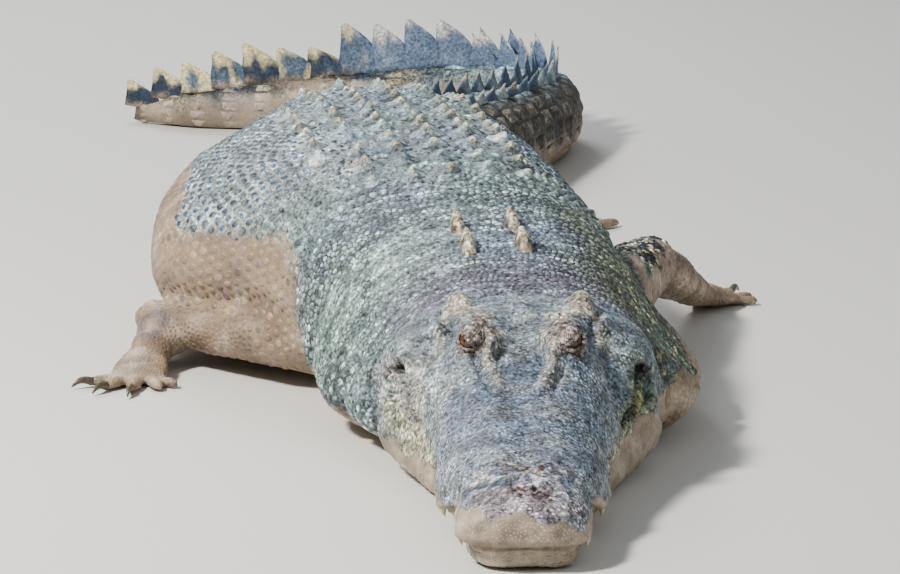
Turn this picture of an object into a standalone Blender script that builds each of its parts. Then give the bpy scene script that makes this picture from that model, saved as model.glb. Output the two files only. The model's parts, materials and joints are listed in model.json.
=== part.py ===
"""A saltwater crocodile at life size, an old male lying on its belly on level ground.

Metres, +Z up.  The head points along -Y and the tail along +Y.  The body is swept
along a spine that lies in the ground plane, so every distance below is measured
along that spine from the tip of the snout.  "Right" and "left" are the animal's
own sides: its right is towards -X.  The origin is the middle of the ground under
the whole animal.
"""

import math

import bmesh
import bpy
import numpy as np
from mathutils import Vector

GAP = 0.0003            # clearance between pieces that touch
LIMB_GAP = 0.0006       # the same where one length of a leg is cut to fit another
FLOOR_SINK = 0.012      # how far shapes reach below the ground before they are cut flat

# Distances along the spine.
SKULL_END = 0.70
RUMP_END = 2.46
BODY_PIECES = {
    "neck": (SKULL_END, 1.10), "chest": (1.10, 1.55), "belly": (1.55, 2.02), "rump": (2.02, RUMP_END),
}
RING_SPACING = 0.075    # most distance between two cross-sections of the trunk
TOTAL_LENGTH = 4.60

# The tail's crest: whorls of blades, in two rows that run into one.
WHORLS = 30
CREST_START = RUMP_END
CREST_JOIN = 3.80
WHORL = (TOTAL_LENGTH - CREST_START) / WHORLS
TAIL_WHORLS = (0, 9, 16, 23, WHORLS)   # where the four lengths of tail begin and end
WORN_BLADES = {4: 0.76, 5: 0.64, 9: 0.80}  # share that is left of a single blade, counted from the join
BLADE_RAKE = 0.06                      # how far blades lean back, as a share of a whorl
BLADE_TIP = (0.80, 0.92, 0.003)        # the tip's two ends along a whorl, and half its thickness

# Bend of the spine: distance along it, and heading in degrees from +Y towards +X.
HEADINGS = (
    (0.00, 0), (0.66, 0), (0.80, -9), (1.10, -13), (1.55, -10), (2.05, -8), (2.30, 0),
    (2.55, 16), (2.90, 22), (3.35, 20), (3.54, -2), (3.72, -52), (3.88, -84), (4.08, -92),
    (4.32, -88), (4.46, -72), (4.60, -52),
)

# Trunk, neck and tail: distance, half width right, half width left, height of the back,
# height of the widest level.
BODY = (
    (0.62, 0.225, 0.225, 0.284, 0.135),
    (0.70, 0.232, 0.232, 0.287, 0.135),
    (0.80, 0.238, 0.246, 0.294, 0.130),
    (0.95, 0.272, 0.278, 0.324, 0.130),
    (1.10, 0.282, 0.302, 0.354, 0.140),
    (1.30, 0.342, 0.306, 0.388, 0.160),
    (1.55, 0.488, 0.304, 0.408, 0.170),
    (1.80, 0.462, 0.300, 0.408, 0.165),
    (2.02, 0.365, 0.285, 0.392, 0.160),
    (2.25, 0.262, 0.240, 0.358, 0.150),
    (2.46, 0.190, 0.185, 0.300, 0.130),
    (2.75, 0.142, 0.142, 0.240, 0.105),
    (3.05, 0.116, 0.116, 0.204, 0.088),
    (3.40, 0.094, 0.094, 0.174, 0.076),
    (3.75, 0.074, 0.074, 0.154, 0.068),
    (4.00, 0.058, 0.058, 0.136, 0.060),
    (4.25, 0.042, 0.042, 0.112, 0.050),
    (4.48, 0.024, 0.024, 0.074, 0.034),
    (4.60, 0.008, 0.008, 0.034, 0.016),
)

# Soft folds of the throat, which spread over the ground behind the jaws: distance, and how
# far they stand out low on the right side and on the left side.
THROAT = (
    (0.70, 0.000, 0.000), (0.76, 0.030, 0.056), (0.81, 0.044, 0.086), (0.90, 0.046, 0.096),
    (1.00, 0.036, 0.092), (1.10, 0.016, 0.078), (1.20, 0.000, 0.048), (1.32, 0.000, 0.014),
    (1.45, 0.000, 0.000),
)
THROAT_TOP = (0.075, 0.080)     # full below the first height, and soft above it over the second

# Head: distance, half width of the upper jaw, height of its ridge, height of the lips,
# half width of the lower jaw.
HEAD = (
    (0.000, 0.020, 0.062, 0.044, 0.012),
    (0.006, 0.048, 0.078, 0.038, 0.030),
    (0.020, 0.082, 0.099, 0.036, 0.062),
    (0.050, 0.104, 0.116, 0.036, 0.084),
    (0.090, 0.110, 0.126, 0.042, 0.092),
    (0.125, 0.107, 0.130, 0.054, 0.096),
    (0.155, 0.105, 0.137, 0.060, 0.098),
    (0.190, 0.119, 0.146, 0.052, 0.098),
    (0.240, 0.136, 0.156, 0.038, 0.104),
    (0.290, 0.141, 0.170, 0.040, 0.112),
    (0.350, 0.143, 0.190, 0.058, 0.124),
    (0.410, 0.151, 0.210, 0.072, 0.142),
    (0.470, 0.164, 0.232, 0.078, 0.162),
    (0.540, 0.188, 0.256, 0.098, 0.192),
    (0.610, 0.216, 0.274, 0.140, 0.222),
    (0.660, 0.230, 0.281, 0.158, 0.234),
    (0.700, 0.232, 0.283, 0.160, 0.234),
)

# Raised places on the head: distance, how far from the midline, length, width, height.
NOSTRIL_MOUND = (0.088, 0.000, 0.034, 0.050, 0.014)
EYE_DOME = (0.508, 0.074, 0.043, 0.037, 0.050)
BROW_RIDGE = (0.405, 0.046, 0.045, 0.013, 0.013)
TABLE_CORNER = (0.680, 0.102, 0.030, 0.024, 0.024)
TABLE_EDGE = (0.590, 0.092, 0.060, 0.016, 0.012)
TEMPLE_HOLLOW = (0.600, 0.140, 0.070, 0.026, -0.020)
SNOUT_BOSS = (0.215, 0.066, 0.030, 0.026, 0.008)
HEAD_MARKS = (
    NOSTRIL_MOUND, EYE_DOME, BROW_RIDGE, TABLE_CORNER, TABLE_EDGE, TEMPLE_HOLLOW, SNOUT_BOSS,
)

CHIN_LENGTH = 0.085     # how far back the chin comes down to the ground
EYE_RADIUS = 0.0195
EYE_PLACE = (0.497, 0.081, 0.253)   # distance, from the midline, height

# Nuchal shield: four keeled plates on the neck.
SHIELD_CENTRE = 0.985
SHIELD_SPREAD = (0.040, 0.048)        # half spacing along the neck, and across it
SHIELD_PLATE = (0.037, 0.028, 0.030)  # half length, half width, height
SHIELD_SINK = 0.006                   # how deep a plate's rim sits in the hide

# Legs.  Each length runs between two joints; a shape is rows of share of the length,
# half width and half height.
UPPER_ARM = ((-0.10, 0.030, 0.030), (0.00, 0.072, 0.070), (0.25, 0.084, 0.080),
             (0.60, 0.070, 0.066), (0.92, 0.058, 0.054), (1.08, 0.045, 0.044), (1.18, 0.018, 0.018))
FOREARM = ((-0.04, 0.020, 0.020), (0.08, 0.040, 0.038), (0.35, 0.055, 0.048),
           (0.65, 0.045, 0.038), (0.95, 0.038, 0.031), (1.12, 0.024, 0.020))
THIGH = ((-0.10, 0.040, 0.040), (0.00, 0.094, 0.092), (0.30, 0.112, 0.104),
         (0.65, 0.092, 0.086), (0.94, 0.068, 0.064), (1.08, 0.050, 0.046), (1.17, 0.020, 0.020))
SHANK = ((-0.04, 0.022, 0.022), (0.10, 0.048, 0.044), (0.34, 0.066, 0.058),
         (0.65, 0.052, 0.046), (0.95, 0.042, 0.036), (1.10, 0.026, 0.022))
PALM = ((-0.20, 0.020, 0.014), (0.00, 0.036, 0.027), (0.35, 0.046, 0.025),
        (0.75, 0.054, 0.021), (1.00, 0.050, 0.017), (1.12, 0.034, 0.010))
SOLE = ((-0.16, 0.022, 0.016), (0.00, 0.038, 0.032), (0.35, 0.044, 0.027),
        (0.75, 0.058, 0.021), (1.00, 0.062, 0.015), (1.12, 0.046, 0.009))
TOE = ((0.00, 1.00), (0.32, 0.92), (0.62, 1.00), (1.00, 0.66))

# Joints: shoulder or hip, elbow or knee, wrist or ankle, root of the toes.
ARM_RIGHT = ((-0.240, 1.120, 0.115), (-0.612, 1.440, 0.072), (-0.655, 1.330, 0.036), (-0.668, 1.240, 0.014))
ARM_LEFT = ((0.130, 1.180, 0.155), (0.250, 1.620, 0.138), (0.345, 1.800, 0.042), (0.388, 1.892, 0.014))
LEG_RIGHT = ((-0.340, 2.280, 0.120), (-0.562, 2.130, 0.095), (-0.562, 2.400, 0.040), (-0.580, 2.520, 0.015))
LEG_LEFT = ((-0.130, 2.280, 0.120), (0.080, 2.150, 0.095), (0.080, 2.420, 0.040), (0.100, 2.540, 0.015))

# Toes: spread from the foot's own line in degrees, length, root radius, has a claw.
FINGERS = ((-52, 0.062, 0.0135, True), (-24, 0.078, 0.0145, True), (2, 0.084, 0.0145, True),
           (30, 0.074, 0.0125, False), (58, 0.056, 0.0110, False))
TOES = ((-30, 0.100, 0.0165, True), (-8, 0.128, 0.0175, True), (15, 0.134, 0.0170, True),
        (38, 0.116, 0.0140, False))
CLAW_LENGTH = 0.036
CLAW_SHAPE = ((0.00, 1.00), (0.35, 0.82), (0.70, 0.50), (1.00, 0.12))
TOE_HEIGHT = 0.010
TOE_ROOT_INSIDE = 0.012   # how far a toe's root reaches into the palm


def colour_of(name, hex_code, roughness):
    """A plain painted-plastic material in one colour."""
    material = bpy.data.materials.new(name)
    material.use_nodes = True
    shader = material.node_tree.nodes["Principled BSDF"]
    parts = [int(hex_code[i:i + 2], 16) / 255 for i in (0, 2, 4)]
    linear = [c / 12.92 if c <= 0.04045 else ((c + 0.055) / 1.055) ** 2.4 for c in parts]
    shader.inputs["Base Color"].default_value = (*linear, 1)
    shader.inputs["Roughness"].default_value = roughness
    shader.inputs["Metallic"].default_value = 0
    return material


def smooth_table(table, column, distance):
    """A value of a table at a distance, on a smooth curve through its rows."""
    places = np.array([row[0] for row in table], float)
    values = np.array([row[column] for row in table], float)
    slopes = np.gradient(values, places)
    k = int(np.clip(np.searchsorted(places, distance) - 1, 0, len(places) - 2))
    run = places[k + 1] - places[k]
    t = min(max((distance - places[k]) / run, 0.0), 1.0)
    rise = values[k + 1] - values[k]
    near, far = slopes[k] * run, slopes[k + 1] * run
    if rise * near <= 0:
        near = 0.0
    if rise * far <= 0:
        far = 0.0
    near = math.copysign(min(abs(near), 3 * abs(rise)), rise)
    far = math.copysign(min(abs(far), 3 * abs(rise)), rise)
    return float(
        values[k] + near * t + (3 * rise - 2 * near - far) * t ** 2
        + (near + far - 2 * rise) * t ** 3
    )


def make_spine(step=0.005):
    """Points and headings along the spine, the snout's tip first, at even steps."""
    count = round(TOTAL_LENGTH / step)
    point = Vector((0.0, 0.0, 0.0))
    line = []
    for k in range(count + 1):
        heading = math.radians(smooth_table(HEADINGS, 1, k * step))
        ahead = Vector((math.sin(heading), math.cos(heading), 0.0))
        line.append((point.copy(), ahead))
        point += ahead * step
    return step, line


SPINE_STEP, SPINE = make_spine()


def on_spine(distance, side, height):
    """World place of a point: side is positive towards the animal's left, +X."""
    place = min(max(distance / SPINE_STEP, 0.0), len(SPINE) - 1.001)
    k = int(place)
    t = place - k
    point = SPINE[k][0].lerp(SPINE[k + 1][0], t)
    ahead = SPINE[k][1].lerp(SPINE[k + 1][1], t).normalized()
    across = Vector((ahead.y, -ahead.x, 0.0))
    return point + across * side + Vector((0.0, 0.0, height))


def loft(name, rings, material, grow_on=None, level=True):
    """A closed solid through rings of points, made by extruding its end face ring by ring."""
    bm = bmesh.new()
    loops = [[bm.verts.new(p) for p in rings[0]]]
    end = bm.faces.new(loops[0])
    for count, ring in enumerate(rings[1:]):
        made = bmesh.ops.extrude_face_region(bm, geom=[end])["geom"]
        if count:
            bmesh.ops.delete(bm, geom=[end], context="FACES_ONLY")
        end = next(g for g in made if isinstance(g, bmesh.types.BMFace))
        loops.append(matching_loop(end, loops[-1]))
        for vert, place in zip(loops[-1], ring):
            vert.co = place
    bmesh.ops.recalc_face_normals(bm, faces=bm.faces)
    if grow_on is not None:
        grow_on(bm, loops)
    sides = [face for face in bm.faces if len(face.verts) == 4]
    bmesh.ops.triangulate(bm, faces=sides, quad_method="FIXED")
    return finish(name, bm, material, level)


def matching_loop(face, before):
    """The face's corners in the order of the ring that they were extruded from."""
    twin = {}
    for vert in face.verts:
        for edge in vert.link_edges:
            other = edge.other_vert(vert)
            if other in before:
                twin[other] = vert
    return [twin[vert] for vert in before]


def cut_at_floor(bm):
    """Slices off what lies under the ground and closes the flat that this leaves."""
    geometry = bm.verts[:] + bm.edges[:] + bm.faces[:]
    made = bmesh.ops.bisect_plane(
        bm, geom=geometry, dist=1e-6, plane_co=(0, 0, 0), plane_no=(0, 0, -1), clear_outer=True
    )
    rim = [g for g in made["geom_cut"] if isinstance(g, bmesh.types.BMEdge)]
    if rim:
        bmesh.ops.holes_fill(bm, edges=rim, sides=0)
    bmesh.ops.remove_doubles(bm, verts=bm.verts, dist=1e-5)


def finish(name, bm, material, level=True):
    """Makes a shape an object, with what lies under the ground sliced off."""
    if level:
        cut_at_floor(bm)
    bmesh.ops.recalc_face_normals(bm, faces=bm.faces)
    mesh = bpy.data.meshes.new(name)
    bm.to_mesh(mesh)
    bm.free()
    mesh.materials.append(material)
    mesh.shade_smooth()
    mesh.set_sharp_from_angle(angle=math.radians(50))
    piece = bpy.data.objects.new(name, mesh)
    bpy.context.collection.objects.link(piece)
    return piece


def as_guide(piece):
    """Marks an object as a cutter, which isn't part of the animal."""
    piece.hide_render = True
    piece.display_type = "WIRE"
    return piece


def combine(piece, other, operation):
    """Adds a Boolean of another object to a piece."""
    change = piece.modifiers.new(other.name, "BOOLEAN")
    change.object = other
    change.operation = operation
    change.solver = "EXACT"
    return piece


def power(value, exponent):
    return math.copysign(abs(value) ** exponent, value)


def body_ring(distance, columns=24, grow=0.0):
    """One cross-section of neck, trunk or tail, from the right side over the back."""
    right, left, back, level = (smooth_table(BODY, c, distance) for c in (1, 2, 3, 4))
    ring = []
    for k in range(columns):
        angle = 2 * math.pi * (k + 0.5) / columns
        cosine, sine = math.cos(angle), math.sin(angle)
        width = right if cosine > 0 else left
        side = -power(cosine, 0.86) * (width + grow)
        if sine >= 0:
            height = level + (back - level + grow) * power(sine, 0.90)
        else:
            height = level + (level + FLOOR_SINK + grow) * power(sine, 0.62)
        ring.append(on_spine(distance, side + throat_fold(distance, cosine, height), height))
    return ring


def throat_fold(distance, cosine, height):
    """How far a throat fold moves a point of the neck sideways."""
    fold = smooth_table(THROAT, 1 if cosine > 0 else 2, distance)
    above = max(0.0, height - THROAT_TOP[0]) / THROAT_TOP[1]
    return math.copysign(fold * math.exp(-above ** 2) * min(1.0, 3 * abs(cosine)), -cosine)


def even(start, end, longest):
    """Distances from start to end in equal steps no longer than the longest."""
    count = max(1, math.ceil((end - start) / longest))
    return [start + (end - start) * k / count for k in range(count + 1)]


def body_distances(name):
    start, end = BODY_PIECES[name]
    return even(start + GAP / 2, end - GAP / 2, RING_SPACING)


def body_piece(name, material):
    return loft(name, [body_ring(d) for d in body_distances(name)], material)


def mark_height(mark, distance, side):
    """Height that one raised place adds at a point of the head."""
    place, across, length, width, height = mark
    along = ((distance - place) / length) ** 2
    nearest = min(abs(side - across), abs(side + across))
    return height * math.exp(-along - (nearest / width) ** 2)


def upper_ring(distance, columns=19):
    """Cross-section of the skull and upper jaw: over the top, then back under the palate."""
    half, ridge, lips = (smooth_table(HEAD, c, distance) for c in (1, 2, 3))
    flatness = 0.62 + 0.20 * min(1.0, distance / SKULL_END)
    ring = []
    for k in range(columns):
        angle = math.pi * (k + 0.5) / columns
        side = -half * power(math.cos(angle), 0.88)
        height = lips + (ridge - lips) * math.sin(angle) ** flatness
        height += sum(mark_height(mark, distance, side) for mark in HEAD_MARKS)
        ring.append(on_spine(distance, side, height))
    for share in (0.86, 0.45, 0.0, -0.45, -0.86):
        ring.append(on_spine(distance, half * share, lips + GAP / 2))
    return ring


def lower_ring(distance):
    """Cross-section of the lower jaw, flat on top where it meets the upper one."""
    lips, half = (smooth_table(HEAD, c, distance) for c in (3, 4))
    chin = 1 - max(0.0, 1 - distance / CHIN_LENGTH) ** 2
    depth = (lips * 0.55 + FLOOR_SINK) * chin
    ring = []
    for share in (0.93, 0.50, 0.0, -0.50, -0.93):
        ring.append(on_spine(distance, half * share, lips - GAP / 2))
    for k in range(9):
        angle = math.pi * (k + 0.35) / 8.7
        side = -half * power(math.cos(angle), 0.70)
        height = lips * 0.55 - depth * math.sin(angle) ** 0.6
        ring.append(on_spine(distance, side, height))
    return ring


def build_head(skin):
    distances = [0.0, 0.003, 0.009, 0.020, 0.036, 0.055, 0.075, 0.095, 0.120, 0.145, 0.172]
    distances += even(0.20, SKULL_END - GAP / 2, 0.030)
    head = loft("head", [upper_ring(d) for d in distances], skin)
    loft("lower_jaw", [lower_ring(d) for d in distances[1:]], skin)
    return head


def build_eyes(head, glassy):
    distance, across, height = EYE_PLACE
    for label, sign in (("right", -1), ("left", 1)):
        centre = on_spine(distance, sign * across, height)
        for name, radius, guide in ((f"eye_{label}", EYE_RADIUS, False),
                                    (f"socket_{label}", EYE_RADIUS + GAP, True)):
            bm = bmesh.new()
            bmesh.ops.create_uvsphere(bm, u_segments=12, v_segments=7, radius=radius)
            bmesh.ops.translate(bm, verts=bm.verts, vec=centre)
            ball = finish(name, bm, glassy)
            if guide:
                combine(head, as_guide(ball), "DIFFERENCE")


def crest_height(distance):
    """Height of the tail's blades: tallest where the two rows have become one."""
    rise = (distance - CREST_START) / (CREST_JOIN - CREST_START)
    if rise < 1:
        return 0.018 + 0.062 * rise ** 1.2
    fall = (distance - CREST_JOIN) / (TOTAL_LENGTH - CREST_JOIN)
    worn = WORN_BLADES.get(round((distance - CREST_JOIN) / WHORL), 1.0)
    return (0.114 - 0.064 * fall ** 3) * worn


def tail_ring(distance):
    """Cross-section of the tail, with narrow strips on top that the blades grow from."""
    right, left, back, level = (smooth_table(BODY, c, distance) for c in (1, 2, 3, 4))
    half = (right + left) / 2
    apart = max(0.0, 1 - (distance - CREST_START) / (CREST_JOIN - CREST_START))
    inner = 0.004 + half * 0.45 * apart
    outer = inner + 0.010 + 0.008 * min(1.0, apart * 4)
    single = apart <= 0
    top = [(-outer, -0.004), (-inner, 0.0), (inner, 0.0), (outer, -0.004)]
    if single:
        width = max(0.006, half * 0.30)
        top = [(-width * 1.5, -0.010), (-width * 0.6, 0.0), (width * 0.6, 0.0), (width * 1.5, -0.010)]
    ring = [on_spine(distance, side, back + drop) for side, drop in top]
    for angle in (50, 25, 0, -28, -60):
        cosine, sine = math.cos(math.radians(angle)), math.sin(math.radians(angle))
        reach = back - level if sine > 0 else level + FLOOR_SINK
        ring.append(on_spine(distance, half * power(cosine, 0.8), level + reach * power(sine, 0.8)))
    for angle in (-120, -152, 180, 155, 130):
        cosine, sine = math.cos(math.radians(angle)), math.sin(math.radians(angle))
        reach = back - level if sine > 0 else level + FLOOR_SINK
        ring.append(on_spine(distance, half * power(cosine, 0.8), level + reach * power(sine, 0.8)))
    return ring


def raise_blade(bm, loops, k, columns, height, lean):
    """Extrudes one blade from the top quad between two rings, and rakes it back."""
    corners = {loops[k][c] for c in columns} | {loops[k + 1][c] for c in columns}
    root = next(f for f in loops[k][columns[0]].link_faces if set(f.verts) == corners)
    front = [loops[k][c].co.copy() for c in columns]
    rear = [loops[k + 1][c].co.copy() for c in columns]
    made = bmesh.ops.extrude_discrete_faces(bm, faces=[root])["faces"][0]
    middle_front = (front[0] + front[1]) / 2
    middle_rear = (rear[0] + rear[1]) / 2
    run = middle_rear - middle_front
    across = (front[1] - front[0]).normalized()
    for vert in made.verts:
        is_front = min((vert.co - p).length for p in front) < min((vert.co - p).length for p in rear)
        sign = 1 if (vert.co - middle_front).dot(across) > 0 else -1
        along = BLADE_TIP[0 if is_front else 1] + lean
        tip = middle_front + run * along + across * sign * BLADE_TIP[2]
        vert.co = tip + Vector((0, 0, height))


def build_tail(skin):
    """Four lengths of tail, a ring at every whorl, with the crest grown out of them."""
    names = ("tail_base", "tail_front", "tail_middle", "tail_end")
    for name, first, last in zip(names, TAIL_WHORLS, TAIL_WHORLS[1:]):
        distances = [CREST_START + WHORL * k for k in range(first, last + 1)]
        distances[0] += GAP / 2
        distances[-1] -= GAP / 2

        def crest(bm, loops, distances=distances):
            for k in range(len(loops) - 1):
                place = (distances[k] + distances[k + 1]) / 2
                height = crest_height(place)
                rows = ((1, 2),) if distances[k + 1] > CREST_JOIN + WHORL / 2 else ((0, 1), (2, 3))
                for columns in rows:
                    raise_blade(bm, loops, k, columns, height, BLADE_RAKE)

        loft(name, [tail_ring(d) for d in distances], skin, crest)


def build_shield(horn):
    """Keeled plates of the neck, set a little way into the hide, which is cut to take them."""
    length, width, height = SHIELD_PLATE
    plates = []
    for row, along in enumerate((-1, 1)):
        for label, side in (("right", -1), ("left", 1)):
            distance = SHIELD_CENTRE + along * SHIELD_SPREAD[0]
            across = side * SHIELD_SPREAD[1]
            ground = body_height(distance, across)
            for grow, guide in ((0.0, False), (GAP, True)):
                rings = []
                for share in (-1.0, -0.55, 0.0, 0.55, 1.0):
                    reach = (1 - 0.88 * abs(share) ** 1.6) * width + grow
                    keel = height * (0.22 + 0.78 * (1 - ((share - 0.25) / 1.25) ** 2)) + SHIELD_SINK
                    spot = distance + share * (length + grow)
                    base = ground - SHIELD_SINK
                    shape = ((-1.0, 0.0), (-0.92, 0.30), (-0.30, 0.52), (0.0, 1.0), (0.30, 0.52),
                             (0.92, 0.30), (1.0, 0.0))
                    rings.append([
                        on_spine(spot, across + u * reach, base + v * keel + (grow if v else -grow))
                        for u, v in shape
                    ])
                name = f"neck_plate_{label}_{row + 1}" + ("_clearance" if guide else "")
                plate = loft(name, rings, horn)
                if guide:
                    plates.append(as_guide(plate))
    return plates


def body_height(distance, across):
    """Height of the back at a distance and a side."""
    right, left, back, level = (smooth_table(BODY, c, distance) for c in (1, 2, 3, 4))
    share = min(0.999, abs(across) / (right if across < 0 else left))
    return level + (back - level) * (1 - share ** (2 / 0.86)) ** (0.90 / 2)


def tube_rings(start, end, shape, columns, grow=0.0):
    """Rings of a limb between two points, wider or flatter as its shape says."""
    start, end = Vector(start), Vector(end)
    run = end - start
    ahead = run.normalized()
    across = ahead.cross(Vector((0, 0, 1))).normalized()
    upward = across.cross(ahead)
    rings = []
    for share, width, height in shape:
        centre = start + run * share
        stretch = ahead * (grow if share > 0.5 else -grow)
        ring = []
        for k in range(columns):
            angle = 2 * math.pi * (k + 0.5) / columns
            ring.append(centre + stretch + across * math.cos(angle) * (width + grow)
                        + upward * math.sin(angle) * (height + grow))
        rings.append(ring)
    return rings


def limb_length(name, start, end, shape, skin, cutters, ground):
    """One length of a leg, cut clear of its neighbours and of the ground."""
    piece = loft(name, tube_rings(start, end, shape, 10), skin, level=False)
    for cutter in cutters:
        combine(piece, cutter, "DIFFERENCE")
    combine(piece, ground, "DIFFERENCE")
    guide = loft(name + "_clearance", tube_rings(start, end, shape, 10, LIMB_GAP), skin, level=False)
    return piece, as_guide(guide)


def toe_line(root, heading, spread, length):
    """Start and end of a toe that lies along the ground."""
    angle = heading + math.radians(spread)
    ahead = Vector((math.sin(angle), math.cos(angle), 0))
    start = Vector((root.x, root.y, TOE_HEIGHT)) - ahead * TOE_ROOT_INSIDE
    return start, start + ahead * length, ahead


def build_foot(name, joints, palm, digits, mirrored, skin, horn, cutters, ground):
    """A foot with its toes joined on, and a separate claw on each toe that has one."""
    wrist, root = Vector(joints[2]), Vector(joints[3])
    foot, guide = limb_length(name, wrist, root, palm, skin, (), ground)
    bpy.data.objects.remove(guide)
    for cutter in cutters:
        combine(foot, cutter, "DIFFERENCE")
    level_run = root - wrist
    heading = math.atan2(level_run.x, level_run.y)
    across = Vector((math.cos(heading), -math.sin(heading), 0))
    half_width = palm[4][1] * 0.80
    for count, (spread, length, radius, clawed) in enumerate(digits):
        turn = -spread if mirrored else spread
        side = (2 * count / (len(digits) - 1) - 1) * (-1 if mirrored else 1)
        start, end, ahead = toe_line(root + across * side * half_width, heading, turn, length)
        shape = [(share, radius * size, radius * size * 0.92) for share, size in TOE]
        toe = loft(f"{name}_toe_{count + 1}", tube_rings(start, end, shape, 7), skin, level=False)
        combine(foot, as_guide(toe), "UNION")
        if clawed:
            build_claw(f"{name}_claw_{count + 1}", end, ahead, radius * TOE[-1][1] * 0.86, horn)
    move_last(foot, ground.name)
    return foot


def move_last(piece, name):
    """Puts one modifier at the end of the stack."""
    piece.modifiers.move(piece.modifiers.find(name), len(piece.modifiers) - 1)


def build_claw(name, tip, ahead, radius, horn):
    """A claw that starts at the toe's end and bends down to the ground."""
    across = Vector((ahead.y, -ahead.x, 0))
    rings = []
    for share, size in CLAW_SHAPE:
        tilt = math.radians(8 + 34 * share)
        upward = Vector((0, 0, 1)) * math.cos(tilt) + ahead * math.sin(tilt)
        centre = tip + ahead * (GAP + CLAW_LENGTH * share)
        low = 0.0015 + radius * size
        centre.z = max(low, tip.z + 0.0005 - 0.012 * share ** 2)
        if share == 0:
            upward = Vector((0, 0, 1))
        rings.append([centre + across * math.cos(a) * radius * size * 0.8
                      + upward * math.sin(a) * radius * size
                      for a in (2 * math.pi * (k + 0.5) / 6 for k in range(6))])
    loft(name, rings, horn)


def build_legs(skin, horn):
    """Four legs in three lengths each, resting beside the body."""
    bm = bmesh.new()
    bmesh.ops.create_cube(bm, size=1.0)
    bmesh.ops.scale(bm, verts=bm.verts, vec=(4, 4, 0.2))
    bmesh.ops.translate(bm, verts=bm.verts, vec=(0, 2, -0.1))
    ground = as_guide(finish("ground_block", bm, skin, level=False))
    rings = [body_ring(d, grow=GAP) for name in BODY_PIECES for d in body_distances(name)]
    trunk = as_guide(loft("trunk_clearance", rings, skin, level=False))
    sets = (
        ("right", "arm", ARM_RIGHT, True), ("left", "arm", ARM_LEFT, False),
        ("right", "leg", LEG_RIGHT, True), ("left", "leg", LEG_LEFT, False),
    )
    for side, kind, joints, mirrored in sets:
        front = kind == "arm"
        names = ("upper_arm", "forearm", "hand") if front else ("thigh", "shank", "foot")
        shapes = (UPPER_ARM, FOREARM) if front else (THIGH, SHANK)
        upper, upper_guide = limb_length(
            f"{names[0]}_{side}", joints[0], joints[1], shapes[0], skin, (trunk,), ground)
        lower, lower_guide = limb_length(
            f"{names[1]}_{side}", joints[1], joints[2], shapes[1], skin, (trunk, upper_guide), ground)
        build_foot(f"{names[2]}_{side}", joints, PALM if front else SOLE, FINGERS if front else TOES,
                   mirrored, skin, horn, (lower_guide,), ground)


def centre_over_ground():
    """Moves everything so that the ground's origin is under the middle of the animal."""
    bpy.context.view_layer.update()
    graph = bpy.context.evaluated_depsgraph_get()
    corners = []
    for thing in bpy.data.objects:
        if not thing.hide_render:
            corners += [Vector(corner) for corner in thing.evaluated_get(graph).bound_box]
    middle = [(min(c[axis] for c in corners) + max(c[axis] for c in corners)) / 2 for axis in (0, 1)]
    for thing in bpy.data.objects:
        thing.location = (-middle[0], -middle[1], 0)


def main():
    for thing in list(bpy.data.objects):
        bpy.data.objects.remove(thing)
    back_skin = colour_of("back_hide", "6d7c83", 0.6)
    head_skin = colour_of("head_hide", "76808a", 0.6)
    tail_skin = colour_of("tail_hide", "6a7a86", 0.6)
    leg_skin = colour_of("leg_hide", "7c7464", 0.6)
    horn = colour_of("horn", "9a8a6c", 0.45)
    glassy = colour_of("eye", "6b4526", 0.1)
    head = build_head(head_skin)
    build_eyes(head, glassy)
    neck = body_piece("neck", back_skin)
    for plate in build_shield(horn):
        combine(neck, plate, "DIFFERENCE")
    for name in ("chest", "belly", "rump"):
        body_piece(name, back_skin)
    build_tail(tail_skin)
    build_legs(leg_skin, horn)
    centre_over_ground()


main()
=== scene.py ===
# %% [markdown]
# # A saltwater crocodile, dressed
#
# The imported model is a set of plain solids: head, neck, trunk, tail and legs.  This
# lesson draws the animal over them.  One hide covers all the flesh, thousands of
# scales lie on the hide, and eyes, claws, neck plates and the tail's crest are pieces
# of their own.  The solids are the true size, so the dressed animal is nowhere more
# than two centimetres outside their box.

# %% Load the solids and note their box
import json
import math
from functools import partial

import bmesh
import bpy
import numpy as np
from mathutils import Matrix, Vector
from mathutils.bvhtree import BVHTree
from mathutils.kdtree import KDTree

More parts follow.
